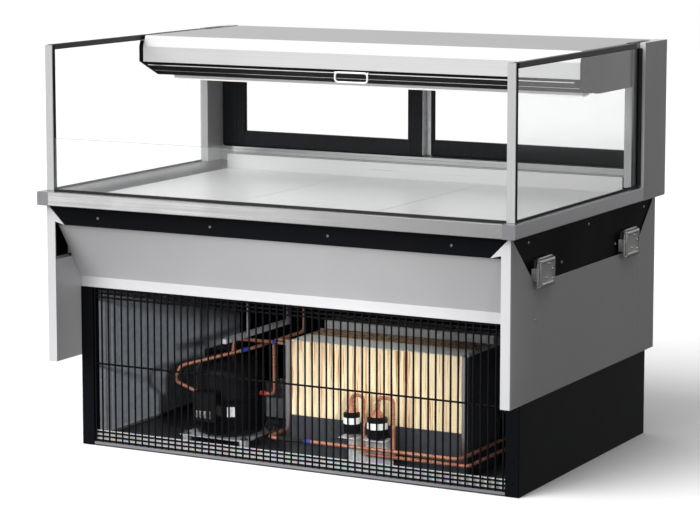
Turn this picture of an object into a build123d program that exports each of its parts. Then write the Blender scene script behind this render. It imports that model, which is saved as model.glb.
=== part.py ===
"""Self-contained glass merchandiser: refrigerated well, low front glass, night curtain, sliding rear doors.

Millimetres. +X is to the right as the customer sees it, +Y goes from the customer's side to the operator's
side, +Z is up. The origin is on the floor, under the middle of the cabinet. Depths are measured back from the
front rail.
"""
from build123d import *
import math
import os

# ---------------------------------------------------------------- driving dimensions
WIDTH = 1334.0            # over the side rails
DEPTH = 954.0             # front rail to the back of the rear columns
HEIGHT = 1050.0           # floor to the top of the canopy
FRONT = -DEPTH / 2        # Y of the front rail's face

RAIL_Z = (642.0, 677.0)   # bottom and top of the stainless top rail
RAIL_WIDTH = 34.0
HALF = WIDTH / 2
RAIL_IN = HALF - RAIL_WIDTH

# machine base
BASE_HALF = 623.5
BASE_DEPTH = (129.0, 939.0)
BASE_TOP = 417.0
SHEET = 2.0
LIP = 10.0                # height of the floor pan's front edge, under the grille
UPSTAND = 40.0            # height of its second fold, behind the grille's foot
POST_WIDTH = 36.0
WIRE = 4.2                # diameter of the grille's uprights
CROSS_WIRE = 5.0          # diameter of its cross wires
WIRE_COUNT = 59
CROSS_PITCH = 11.0        # cross wires at the head and foot
LOUVRE = 10.0             # height of one louvre opening
LOUVRE_PITCH = 24.0

# side and front skins
SKIN_HALF = 649.0         # outer face of the grey side panels
SKIN_IN = 624.0           # inner face of the side panels' thick lower part
COLLAR_HALF = 645.0       # outer face of the black collar round the tank
SKIN_FRONT = 17.0
SKIN_BACK = 932.0
SKIN_BOTTOM = 237.0
SKIN_SEAM = 827.0         # joint between a side panel and its rear extension
COLLAR_FRONT = 20.0
COLLAR_BOTTOM = 505.0
BAND_BOTTOM = 593.0       # lower edge of the black band under the front rail
SLOPE_TOP = (22.0, 604.0)     # depth and height where the slanted front panel starts
SLOPE_LOW = (130.0, 445.0)    # where it folds into the fascia
CUTOUT = ((22.0, 642.0), (155.0, 517.0), (797.0, 517.0), (925.0, 642.0))

# tank
WELL_HALF = 598.0         # inside of the liner
LINER = 1.5
TANK_FLOOR = 432.0        # underside of the tank
TANK_HALF = 619.0         # inside of the tank shell's lower side walls
TANK_FRONT = 138.0        # depth of the insulation's lower front edge
LINER_BACK = 896.0        # depth of the liner's rear wall
FOAM_TOP = 640.0
LINER_FLOOR = 462.0
DECK_Z = 655.0            # top of the deck pans

# glass superstructure
GLASS = 6.0
SIDE_GLASS_IN = 646.0
FRONT_GLASS_DEPTH = 30.0
FRONT_GLASS_TOP = 812.0
POST_OUT = 654.3
POST_FACE = 22.0          # width of a front post
POST_DEPTH = (26.5, 41.0)
COLUMN_DEPTH = (802.0, 954.0)
CHANNEL_DEPTH = (770.0, 889.0)   # inner channel of a rear column
CHANNEL_IN = 624.0
CHANNEL_TOP = 1047.5
TOP_RAIL_LOW = 1036.0
KEYHOLE = (876.0, 1022.0)        # depth and height of the keyhole in each rear column

# canopy
CANOPY_HALF = 633.0
CANOPY_FRONT = 454.0
CANOPY_BACK = 830.0
CANOPY_LOW = 938.0
CHAMFER_TOP = (454.0, 979.0)
CHAMFER_LOW = (546.0, 938.0)
END_CAP = 12.5

# night curtain
ROLLER_AT = (502.0, 994.0)       # depth and height of the roller's axis
ROLLER_R = 11.0
ROLL_R = 17.0                    # tube with the curtain wound on it
CURTAIN_HALF = 606.0
BAR_HALF = 618.0
BAR_SPAN = (3.0, 42.0)           # pull bar, measured down the chamfer from its front edge
BAR_THICK = 7.0
HANDLE_SIZE = (99.0, 30.0)
HANDLE_ROD = 5.0

# sliding doors
DOOR_HALF = 620.0
DOOR_OVERLAP = 10.0              # how far each door reaches past the middle
DOOR_Z = (720.0, 1027.0)
DOOR_THICK = 18.0
FRONT_TRACK = 846.0              # depth of the front door's front face
REAR_TRACK = 870.0
OUTER_STILES = (70.0, 36.0)      # of the left and the right door
MEETING_STILES = (46.0, 38.0)    # of the left and the right door
STILE_GROOVE = 1.5               # width and depth of the grooves down a stile's face
DOOR_RAIL = 41.0
TRACK_DEPTH = (838.0, 896.0)
SILL_TOP = 703.0
SILL_RIB = 14.0                  # height of the ribs that guide the doors
AIR_SLOT = 7.0                   # cold air leaves over the rear duct panel, under the sill

# refrigeration
COMPRESSOR_AT = (-310.0, 355.0)  # X and depth of the compressor's axis
COMPRESSOR_R = 98.0
COIL_X = (-74.0, 414.0)
COIL_DEPTH = (255.0, 440.0)
COIL_Z = (110.0, 303.0)
COIL_ROWS, COIL_PITCH = 6, 31.0
COIL_COLUMNS = (295.0, 350.0, 405.0)   # depths of the coil's tubes
SHROUD_Z = (105.0, 325.0)
SHROUD_BACK = 502.0
FAN_AT = (167.0, 215.0)          # X and height of the condenser fan
FAN_R = 98.0
TRAY_X = (-450.0, -90.0)         # condensate tray on the floor pan
TRAY_DEPTH = (620.0, 860.0)
EVAP_FAN_X = (-260.0, 260.0)
EVAP_FAN_Z = 550.0
EVAP_FAN_R = 72.0
SHAFT_R = 4.0
RUNNING = 0.05                   # radial clearance of a shaft in its bore

SIDES = (-1, 1)           # left and right, as signs of X
SIDE_NAMES = (("left", -1), ("right", 1))
NODES = {}


# ---------------------------------------------------------------- helpers
def node(name, *solids):
    """Adds solids to a named sub-part."""
    NODES.setdefault(name, []).extend(s for piece in solids for s in piece.solids())


def block(x, depth, z, edge=0.0):
    """A box between two X values, two depths and two heights, with its edges broken if asked."""
    (x0, x1), (d0, d1), (z0, z1) = sorted(x), sorted(depth), sorted(z)
    centre = Pos((x0 + x1) / 2, FRONT + (d0 + d1) / 2, (z0 + z1) / 2)
    box = centre * Box(x1 - x0, d1 - d0, z1 - z0)
    return chamfer(box.edges(), edge) if edge else box


def along_x(points, x):
    """A (depth, height) outline carried between two X values."""
    x0, x1 = sorted(x)
    outline = Polygon(*[(FRONT + d, z) for d, z in points], align=None)
    return extrude(Plane.YZ.offset(x0) * outline, amount=x1 - x0, dir=(1, 0, 0))


def along_y(points, depth):
    """An (X, height) outline carried between two depths."""
    d0, d1 = sorted(depth)
    outline = Polygon(*points, align=None)
    return extrude(Plane.XZ.offset(-(FRONT + d0)) * outline, amount=d1 - d0, dir=(0, 1, 0))


def rod(start, end, radius):
    """A round bar between two points given as (X, depth, height)."""
    p, q = (Vector(a, FRONT + b, c) for a, b, c in (start, end))
    return Solid.make_cylinder(radius, (q - p).length, Plane(origin=p, z_dir=q - p))


def tube(points, radius, bend):
    """A pipe through (X, depth, height) points, with one bend radius."""
    path = FilletPolyline(*[(a, FRONT + b, c) for a, b, c in points], radius=bend)
    section = Plane(origin=path @ 0, z_dir=path % 0) * Circle(radius)
    return sweep(section, path=path)


def screw_head(centre, outward, radius=3.6, height=2.0):
    """A pan-head screw whose head stands on the face at centre, pointing outward."""
    a, b, c = centre
    plane = Plane(origin=(a, FRONT + b, c), z_dir=outward)
    head = Solid.make_cylinder(radius, height, plane)
    rims = head.edges().filter_by(GeomType.CIRCLE).sort_by(lambda e: e.center().dot(Vector(*outward)))
    return chamfer(rims[-1], height * 0.4)


def chamfer_point(along, out):
    """Depth and height of a point on the canopy's chamfer: along it from the front, and out from it."""
    run, fall = CHAMFER_LOW[0] - CHAMFER_TOP[0], CHAMFER_LOW[1] - CHAMFER_TOP[1]
    length = math.hypot(run, fall)
    u = (run / length, fall / length)
    n = (u[1], -u[0])
    return CHAMFER_TOP[0] + u[0] * along + n[0] * out, CHAMFER_TOP[1] + u[1] * along + n[1] * out


# ---------------------------------------------------------------- machine base
def machine_base():
    front, back = BASE_DEPTH
    inner = BASE_HALF - SHEET
    between = BASE_HALF - POST_WIDTH - 0.5
    node("base_floor_pan",
         block((-inner, inner), (front + 3, back - SHEET), (0, SHEET)),
         block((-between, between), (front + 1, front + 3), (0, LIP)),
         block((-between, between), (front + 10, front + 12), (SHEET, UPSTAND)),
         block((-inner, inner), (back - 2 * SHEET, back - SHEET), (SHEET, 20)),
         *[block((s * (inner - SHEET), s * inner), (front + 30, back - 2 * SHEET), (SHEET, 14))
           for s in SIDES])
    for sign in SIDES:
        node("base_side_panels", block((sign * inner, sign * BASE_HALF), (front + 3, back), (0, TANK_FLOOR)))
    rear = block((-inner, inner), (back - SHEET, back), (0, TANK_FLOOR))
    slots = [block(x, (back - 5, back + 5), (z, z + LOUVRE)) for x, z in louvre_places()]
    rear = rear - Compound(children=slots)
    for x, z in louvre_places():
        top = z + LOUVRE
        rear = rear + along_x([(back - 1, top + 2), (back, top + 2), (back + 9, z - 3), (back + 9, z - 4.5),
                               (back + 8, z - 4.5), (back, top - 0.5), (back - 1, top - 0.5)], x)
    node("base_rear_panel", rear)
    posts = []
    for sign in SIDES:
        x = (sign * (BASE_HALF - POST_WIDTH), sign * BASE_HALF)
        posts.append(block(x, (front, front + 3), (0, BASE_TOP), 0.6))
        posts.append(block((x[0], x[0] + sign * 3), (front + 3, front + 28), (SHEET, BASE_TOP)))
    node("grille_corner_posts", *posts)
    grille(front)
    (x0, x1), (d0, d1) = TRAY_X, TRAY_DEPTH
    node("condensate_tray",
         block((x0, x1), (d0, d1), (6, 8)),
         *[block(x, d, (8, 60)) for x, d in
           (((x0, x0 + SHEET), (d0, d1)), ((x1 - SHEET, x1), (d0, d1)),
            ((x0 + SHEET, x1 - SHEET), (d0, d0 + SHEET)), ((x0 + SHEET, x1 - SHEET), (d1 - SHEET, d1)))],
         *[block((x, x + 20), (d, d + 20), (SHEET, 6))
           for x in (x0 + 20, x1 - 40) for d in (d0 + 20, d1 - 40)])


def louvre_places():
    """X span and lower edge of each louvre in the rear panel."""
    return [((-180 + 300 * i, 20 + 300 * i), 70 + LOUVRE_PITCH * j) for i in (-1, 0, 1) for j in range(10)]


def grille(front):
    """Welded wire grille: upright wires on cross wires, close together at the head and foot."""
    half = BASE_HALF - POST_WIDTH
    low, high = LIP + 0.5, BASE_TOP - 1.0
    pitch = 2 * (half - 6) / (WIRE_COUNT - 1)
    face = front + WIRE / 2
    uprights = [rod((-(half - 6) + i * pitch, face, low), (-(half - 6) + i * pitch, face, high), WIRE / 2)
                for i in range(WIRE_COUNT)]
    levels = [low + 3 + CROSS_PITCH * i for i in range(3)] + [216.5]
    levels += [high - 3 - CROSS_PITCH * i for i in range(3)]
    behind = face + (WIRE + CROSS_WIRE) / 2
    crosses = [rod((-half, behind, z), (half, behind, z), CROSS_WIRE / 2) for z in levels]
    node("front_grille", *uprights, *crosses)


# ---------------------------------------------------------------- tank
def tank():
    back = SKIN_BACK
    shell_back = (back - SHEET, back)
    node("tank_shell",
         block((-COLLAR_HALF, COLLAR_HALF), (COLLAR_FRONT, COLLAR_FRONT + SHEET), (BAND_BOTTOM, RAIL_Z[0])),
         *[block((s * (COLLAR_HALF - SHEET), s * COLLAR_HALF), (COLLAR_FRONT + SHEET, back),
                 (COLLAR_BOTTOM, RAIL_Z[0])) for s in SIDES],
         *[block((s * (TANK_HALF + SHEET), s * (COLLAR_HALF - SHEET)), (100, back),
                 (COLLAR_BOTTOM, COLLAR_BOTTOM + SHEET)) for s in SIDES],
         *[block((s * TANK_HALF, s * (TANK_HALF + SHEET)), (TANK_FRONT - SHEET, back - SHEET),
                 (TANK_FLOOR, COLLAR_BOTTOM + SHEET)) for s in SIDES],
         block((-TANK_HALF, TANK_HALF), (TANK_FRONT - SHEET, back - SHEET), (TANK_FLOOR, TANK_FLOOR + SHEET)),
         block((-COLLAR_HALF + SHEET, COLLAR_HALF - SHEET), shell_back, (COLLAR_BOTTOM + SHEET, RAIL_Z[0])),
         block((-TANK_HALF, TANK_HALF), shell_back, (TANK_FLOOR, COLLAR_BOTTOM)))
    wall = WELL_HALF + LINER
    foam_floor = TANK_FLOOR + SHEET
    low = LINER_FLOOR - LINER
    node("tank_insulation",
         along_x([(TANK_FRONT, foam_floor), (back - SHEET, foam_floor), (back - SHEET, low), (162, low),
                  (TANK_FRONT, low)], (-wall, wall)),
         along_x([(TANK_FRONT, low), (162, low), (60, 612), (60, FOAM_TOP), (26, FOAM_TOP), (26, 612)],
                 (-wall, wall)),
         block((-wall, wall), (LINER_BACK, back - SHEET), (low, FOAM_TOP)),
         *[block((s * wall, s * TANK_HALF), (TANK_FRONT + 2, back - SHEET), (foam_floor, FOAM_TOP))
           for s in SIDES],
         *[block((s * TANK_HALF, s * (COLLAR_HALF - SHEET)), (100, back - SHEET),
                 (COLLAR_BOTTOM + SHEET, FOAM_TOP)) for s in SIDES])
    lined, rim = LINER_BACK - LINER, RAIL_Z[0] - 1
    node("tank_liner",
         block((-wall, wall), (164, LINER_BACK), (low, LINER_FLOOR)),
         along_x([(164, low), (164, LINER_FLOOR + 1.2), (62, 612.6), (60.5, 612)], (-wall, wall)),
         block((-wall, wall), (60.5, 62), (612.6, rim)),
         block((-wall, wall), (lined, LINER_BACK), (LINER_FLOOR, rim)),
         *[along_x([(164.5, LINER_FLOOR), (lined, LINER_FLOOR), (lined, rim), (62.5, rim), (62.5, 613)],
                   (s * WELL_HALF, s * wall)) for s in SIDES],
         *[block((s * WELL_HALF, s * RAIL_IN), (36, 800), (rim, RAIL_Z[0])) for s in SIDES])
    pan_width = (2 * WELL_HALF - 8) / 3
    pans = []
    for i in range(3):
        x0 = -WELL_HALF + 2 + i * (pan_width + 2)
        x = (x0, x0 + pan_width)
        pans += [block(x, (98, 826), (DECK_Z - 1.5, DECK_Z)),
                 block(x, (98, 99.5), (DECK_Z - 14, DECK_Z - 1.5)),
                 block(x, (824.5, 826), (DECK_Z - 14, DECK_Z - 1.5))]
    node("deck_pans", *pans)
    slots = [block((-580 + 40 * i, -546 + 40 * i), (d, d + 7), (640, 660))
             for i in range(29) for d in (50, 63, 76)]
    strip = block((-WELL_HALF + 1, WELL_HALF - 1), (42, 96), (DECK_Z - 2, DECK_Z))
    node("air_grilles", strip - Compound(children=slots))
    node("air_grilles", block((-WELL_HALF + 1, WELL_HALF - 1), (830, 832), (643, SILL_TOP - AIR_SLOT)))
    node("condensate_tray", rod((-380, 700, 380), (-380, 700, TANK_FLOOR), 14),
         rod((-380, 700, 330), (-380, 700, 380), 10))
    trough = block((-257, -243), (224, 568), (282, 294)) - block((-255.5, -244.5), (225.5, 566.5), (284, 300))
    hangers = [block((-243, -241.5), (d, d + 14), (284, TANK_FLOOR)) for d in (330, 540)]
    node("condensate_tray", trough, *hangers)


def evaporator():
    coil = [block((-470, 470), (600, 760), (480, 600))]
    coil += [block((s * 470, s * 472), (594, 766), (LINER_FLOOR, 606)) for s in SIDES]
    bends = []
    for s in SIDES:
        for row in range(4):
            z = 495 + 30 * row
            bends += [rod((s * 472, d, z), (s * 486, d, z), 5) for d in (620, 660, 700, 740)]
    node("evaporator_coil", *coil, *bends)
    plate = block((-560, 560), (500, 502), (LINER_FLOOR, 630))
    for x in EVAP_FAN_X:
        hole = rod((x, 490, EVAP_FAN_Z), (x, 510, EVAP_FAN_Z), EVAP_FAN_R + 4)
        plate = plate - hole
    node("evaporator_fan_deck", plate)
    motors = []
    for x in EVAP_FAN_X:
        body = rod((x, 524, EVAP_FAN_Z), (x, 562, EVAP_FAN_Z), 26)
        shaft = rod((x, 494, EVAP_FAN_Z), (x, 524, EVAP_FAN_Z), SHAFT_R)
        motors.append(body + shaft)
        for s in SIDES:
            motors.append(block((x + s * 26.5, x + s * 88), (536, 540), (EVAP_FAN_Z - 5, EVAP_FAN_Z + 5)))
            motors.append(block((x + s * 84, x + s * 88), (502, 536), (EVAP_FAN_Z - 5, EVAP_FAN_Z + 5)))
    node("evaporator_fan_deck", *motors)
    for (name, _), x in zip(SIDE_NAMES, EVAP_FAN_X):
        node(f"evaporator_fan_rotor_{name}", rotor((x, 497, EVAP_FAN_Z), 20, EVAP_FAN_R, 17, 5))


def rotor(centre, length, radius, hub, blades):
    """An axial fan rotor that starts at centre and runs back, with a bore for the motor's shaft."""
    x, depth, z = centre
    body = rod(centre, (x, depth + length, z), hub)
    for i in range(blades):
        blade = Pos((hub + radius) / 2 - 2, 0, 0) * Rot(38, 0, 0) * Box(radius - hub + 3, length * 0.9, 2)
        body = body + Pos(x, FRONT + depth + length / 2, z) * Rot(0, 360 / blades * i, 0) * blade
    limit = rod((x, depth - 5, z), (x, depth + length + 5, z), radius)
    bore = rod((x, depth - 5, z), (x, depth + length + 5, z), SHAFT_R + RUNNING)
    return (body & limit) - bore


# ---------------------------------------------------------------- condensing unit
def condensing_unit():
    x, depth = COMPRESSOR_AT
    centre = Pos(x, FRONT + depth, 0)
    wide = COMPRESSOR_R
    profile = Polyline((0, 22), (70, 22), (wide - 2, 50), (wide - 2, 118), (wide, 118), (wide, 126),
                       (wide - 4, 126), (wide - 4, 180), (76, 218), (40, 232), (0, 236), (0, 22))
    pot = revolve(Plane.XZ * make_face(profile), Axis.Z)
    node("compressor", centre * pot)
    feet = [(sx * 88, sy * 78) for sx in (-1, 1) for sy in (-1, 1)]
    plate = centre * (Pos(0, 0, 20.5) * Box(200, 180, 3))
    node("compressor_mounts", plate)
    node("compressor_mounts", *[centre * Pos(a, b, 10.5) * Cylinder(13, 17) for a, b in feet])
    node("electrical_boxes", block((x - 34, x + 34), (depth - 134, depth - 99), (70, 150), 3))

    (x0, x1), (d0, d1), (z0, z1) = COIL_X, COIL_DEPTH, COIL_Z
    fins = block((x0 + 2, x1 - 2), (d0, d1), (z0, z1))
    ends = [block((x0 - 10, x0 + 2), (d0 - 2, d0), (z0, z1)), block((x0, x0 + 2), (d0, d1), (SHEET, z1)),
            block((x1 - 2, x1), (d0, d1), (SHEET, z1))]
    rows = [z0 + 16 + row * COIL_PITCH for row in range(COIL_ROWS)]
    bends = [rod((end, d, z), (end + s * 12, d, z), 4.8)
             for s, end in ((-1, x0), (1, x1)) for z in rows for d in COIL_COLUMNS]
    node("condenser_coil", fins, *ends, *bends)
    back, (low, high) = SHROUD_BACK, SHROUD_Z
    shroud = block((x0 + 2, x1 - 2), (back - 2, back), (low, high))
    shroud = shroud - rod((FAN_AT[0], back - 10, FAN_AT[1]), (FAN_AT[0], back + 10, FAN_AT[1]), FAN_R + 5)
    node("condenser_shroud", shroud,
         block((x0 + 2, x1 - 2), (d1, back - 2), (high - 2, high)),
         block((x0 + 2, x1 - 2), (d1, d1 + 2), (z1, high - 2)),
         block((x0 + 2, x1 - 2), (d1, back - 2), (low, low + 2)),
         block((x0 + 2, x0 + 4), (d1 + 2, back - 2), (low + 2, high - 2)),
         block((x1 - 4, x1 - 2), (d1 + 2, back - 2), (low + 2, high - 2)),
         block((x0 + 2, x1 - 2), (d0 - 1, d0 + 1), (SHEET, z0)),
         block((x1 + 14, x1 + 16), (d0 - 2, d1), (SHEET, z1 + 9)))
    motor = rod((FAN_AT[0], back + 26, FAN_AT[1]), (FAN_AT[0], back + 84, FAN_AT[1]), 40)
    motor = motor + rod((FAN_AT[0], back - 22, FAN_AT[1]), (FAN_AT[0], back + 26, FAN_AT[1]), SHAFT_R)
    arms = []
    for s in SIDES:
        arms.append(block((FAN_AT[0] + s * 40.5, FAN_AT[0] + s * 124), (back + 50, back + 54),
                          (FAN_AT[1] - 8, FAN_AT[1] + 8)))
        arms.append(block((FAN_AT[0] + s * 120, FAN_AT[0] + s * 124), (back, back + 50),
                          (FAN_AT[1] - 8, FAN_AT[1] + 8)))
    node("condenser_fan_motor", motor, *arms)
    node("condenser_fan_blade", rotor((FAN_AT[0], back - 20, FAN_AT[1]), 30, FAN_R, 26, 5))

    driers = []
    for cx, r, low, high in ((135, 21, 94, 163), (207, 26, 88, 158)):
        driers += [rod((cx, 200, low), (cx, 200, high), r)]
    node("filter_driers", *driers)
    node("base_floor_pan", block((110, 160), (176, 222), (84, 86)), block((176, 240), (176, 222), (84, 86)),
         block((110, 240), (222, 224), (SHEET, 86)))
    node("electrical_boxes", block((-585, -470), (700, 900), (40, 160), 1.5),
         *[block((x, x + 12), (d, d + 12), (SHEET, 40)) for x in (-580, -490) for d in (710, 880)])
    lines()


def lines():
    """Copper lines of the condensing unit."""
    r = 4.8
    top_row = COIL_Z[0] + 16 + (COIL_ROWS - 1) * COIL_PITCH
    suction = [(-362.1, 270.8, 138), (-416, 250, 167), (-384, 232, 212), (-239, 350, 251), (-150, 470, 284),
               (-150, 470, TANK_FLOOR - 0.5)]
    discharge = [(-215.2, 355, 134), (-173, 352, 134), (-173, 350, top_row), (COIL_X[0] - 12.2, 350, top_row)]
    liquid = [(-100, 330, 62), (-100, 186, 62), (440, 186, 62), (440, 640, 62), (440, 640, 380)]
    drier_out = [(135, 200, 163.5), (135, 200, 192), (168, 200, 192), (168, 200, 44), (458, 200, 44),
                 (458, 640, 44), (458, 640, 380)]
    branch = [(207, 200, 158.5), (207, 200, 192), (252, 200, 192), (252, 200, 49)]
    runs = [tube(suction, r, 16), tube(discharge, r, 14), tube(liquid, r, 20), tube(drier_out, r, 14),
            tube(branch, r, 14)]
    node("refrigerant_lines", *runs)


# ---------------------------------------------------------------- skins
def skins():
    """Grey side panels: folded pans with a cut-out over the black collar, and a seam near the back."""
    split = COLLAR_BOTTOM - 3
    rise = (CUTOUT[3][1] - CUTOUT[2][1]) / (CUTOUT[3][0] - CUTOUT[2][0])
    seam_top = CUTOUT[2][1] + (SKIN_SEAM - CUTOUT[2][0]) * rise
    start, seam = SKIN_FRONT + 3, SKIN_SEAM + 0.8
    low, top = SKIN_BOTTOM, RAIL_Z[0]
    outer_front = [(start, low), (SKIN_SEAM, low), (SKIN_SEAM, seam_top), CUTOUT[2], CUTOUT[1], CUTOUT[0],
                   (start, top)]
    outer_rear = [(seam, low), (SKIN_BACK, low), (SKIN_BACK, top), CUTOUT[3], (seam, seam_top + 0.8)]
    for sign in SIDES:
        face, back_face = sign * SKIN_HALF, sign * (SKIN_HALF - SHEET)
        inside, inside_face = sign * SKIN_IN, sign * (SKIN_IN + SHEET)
        flange = [(face, low), (inside, low), (inside, 600), (sign * 596, BAND_BOTTOM),
                  (sign * COLLAR_HALF, top), (face, top)]
        node("side_panels", along_x(outer_front, (back_face, face)), along_y(flange, (SKIN_FRONT, start)),
             block((inside, inside_face), (start, SKIN_SEAM), (low, split)),
             block((inside_face, back_face), (start, SKIN_SEAM), (low, low + SHEET)))
        node("side_panels_rear", along_x(outer_rear, (back_face, face)),
             block((inside, inside_face), (seam, SKIN_BACK), (low, split)),
             block((inside_face, back_face), (seam, SKIN_BACK), (low, low + SHEET)),
             block((inside_face, back_face), (SKIN_BACK - SHEET, SKIN_BACK), (low + SHEET, split)))
    t = 1.5
    (d0, z0), (d1, z1) = SLOPE_TOP, SLOPE_LOW
    run, fall = d1 - d0, z1 - z0
    length = math.hypot(run, fall)
    inward = (-fall / length * t, run / length * t)
    folded = along_x([(d0, z0), (d1, z1), (d1, BASE_TOP + 0.5), (d1 + t, BASE_TOP + 0.5), (d1 + t, z1 + 0.5),
                      (d0 + inward[0], z0 + inward[1])], (-SKIN_IN + 0.5, SKIN_IN - 0.5))
    node("front_slanted_panel", folded)


def latches():
    """Joining latches, two on each side, over the lower edge of the black collar."""
    for side, sign in SIDE_NAMES:
        for where, d0 in (("front", 156.0), ("rear", 700.0)):
            inner, outer = sign * SKIN_HALF, sign * (SKIN_HALF + 15)
            housing = block((inner, outer), (d0, d0 + 89), (505, 575), 1.2)
            pad = block((sign * COLLAR_HALF, inner), (d0 + 4, d0 + 85), (522, 571))
            pivot = (sign * (SKIN_HALF + 10), d0 - 6.0)
            lugs = [block((sign * (SKIN_HALF + 4), outer), (d0 - 10, d0), (z, z + 5)) for z in (507, 568)]
            pin = rod((pivot[0], pivot[1], 507), (pivot[0], pivot[1], 573), 2.0)
            studs = [rod((outer, d0 + a, b), (outer + sign * 1.6, d0 + a, b), 2.6)
                     for a, b in ((52, 560), (72, 545), (36, 528), (74, 522))]
            node("latch_housings", housing + pad, lugs[0] + pin, lugs[1], *studs)
            barrel = rod((pivot[0], pivot[1], 513.0), (pivot[0], pivot[1], 567.0), 5.0)
            claw = block((pivot[0] - sign * 9.5, pivot[0]), (d0 - 9, d0 - 6), (520, 560))
            hook = block((pivot[0] - sign * 9.5, pivot[0] - sign * 7), (d0 - 16, d0 - 9), (526, 554))
            bore = rod((pivot[0], pivot[1], 500), (pivot[0], pivot[1], 580), 2.0 + RUNNING)
            node(f"latch_lever_{side}_{where}", (barrel + claw + hook) - bore)


# ---------------------------------------------------------------- top rails, glass and columns
def rails():
    z = RAIL_Z
    front = block((-RAIL_IN, RAIL_IN), (0, RAIL_WIDTH), z)
    node("rail_front", fillet(front.edges().filter_by(Axis.X), 2.0))
    for sign in SIDES:
        rail = block((sign * RAIL_IN, sign * HALF), (0, COLUMN_DEPTH[0]), z)
        node("rail_frame", fillet(rail.edges().filter_by(Axis.Y), 1.6))
    rear = block((-RAIL_IN, RAIL_IN), (DEPTH - RAIL_WIDTH, DEPTH), z)
    node("rail_frame", fillet(rear.edges().filter_by(Axis.X), 2.0))


def columns():
    d0, d1 = COLUMN_DEPTH
    for sign in SIDES:
        outer = block((sign * (HALF - 15), sign * HALF), (d0, d1), (RAIL_Z[0], HEIGHT))
        outer = outer - rod((sign * (HALF - 3), *KEYHOLE), (sign * (HALF + 1), *KEYHOLE), 4)
        outer = outer - block((sign * (HALF - 3), sign * (HALF + 1)), (KEYHOLE[0] - 1.8, KEYHOLE[0] + 1.8),
                              (KEYHOLE[1] - 10, KEYHOLE[1]))
        inner_return = block((sign * RAIL_IN, sign * (HALF - 15)), (889, d1), (RAIL_Z[0], HEIGHT))
        node("rear_columns", outer, inner_return)
        x = (sign * CHANNEL_IN, sign * (SIDE_GLASS_IN - 0.8))
        node("column_channels", block(x, CHANNEL_DEPTH, (RAIL_Z[1], CHANNEL_TOP), 0.8))
        node("side_top_rails", block(x, CHANNEL_DEPTH, (CHANNEL_TOP, HEIGHT), 0.6))


def glazing():
    front = (POST_DEPTH[0] + 2.5, POST_DEPTH[1])
    for sign in SIDES:
        x = (sign * (POST_OUT - POST_FACE), sign * POST_OUT)
        node("front_posts", block(x, front, (RAIL_Z[1], HEIGHT - 1), 0.5))
        glass_x = (sign * SIDE_GLASS_IN, sign * (SIDE_GLASS_IN + GLASS))
        node("side_glasses", block(glass_x, (POST_DEPTH[1], 800), (RAIL_Z[1] + 4, TOP_RAIL_LOW), 0.4))
        top = along_y([(sign * 640, TOP_RAIL_LOW), (sign * 656, TOP_RAIL_LOW), (sign * 656, HEIGHT - 0.5),
                       (sign * 640, HEIGHT - 0.5)], (POST_DEPTH[1], CHANNEL_DEPTH[0]))
        node("side_top_rails", chamfer(top.edges(), 0.8))
    node("front_post_trims", *[block((s * (POST_OUT - POST_FACE), s * POST_OUT), (POST_DEPTH[0], front[0]),
                                     (RAIL_Z[1], HEIGHT - 1), 0.5) for s in SIDES])
    half = POST_OUT - POST_FACE - 0.6
    glass_depth = (FRONT_GLASS_DEPTH, FRONT_GLASS_DEPTH + GLASS)
    node("front_glass", block((-half, half), glass_depth, (RAIL_Z[1] + 4, FRONT_GLASS_TOP), 0.8))
    gaskets = [block((-half, half), (glass_depth[0] - 2, glass_depth[1] + 2), (RAIL_Z[1], RAIL_Z[1] + 4))]
    for s in SIDES:
        gaskets.append(block((s * (SIDE_GLASS_IN - 0.6), s * (SIDE_GLASS_IN + GLASS + 2)),
                             (POST_DEPTH[1], 800), (RAIL_Z[1], RAIL_Z[1] + 4)))
        gaskets.append(block((s * (SIDE_GLASS_IN + GLASS), s * (SIDE_GLASS_IN + GLASS + 7)), (794, 802),
                             (RAIL_Z[1] + 4, TOP_RAIL_LOW)))
        gaskets.append(block((s * (SIDE_GLASS_IN), s * (SIDE_GLASS_IN + GLASS)), (800, 802),
                             (RAIL_Z[1] + 4, TOP_RAIL_LOW)))
    node("glass_gaskets", *gaskets)


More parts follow.
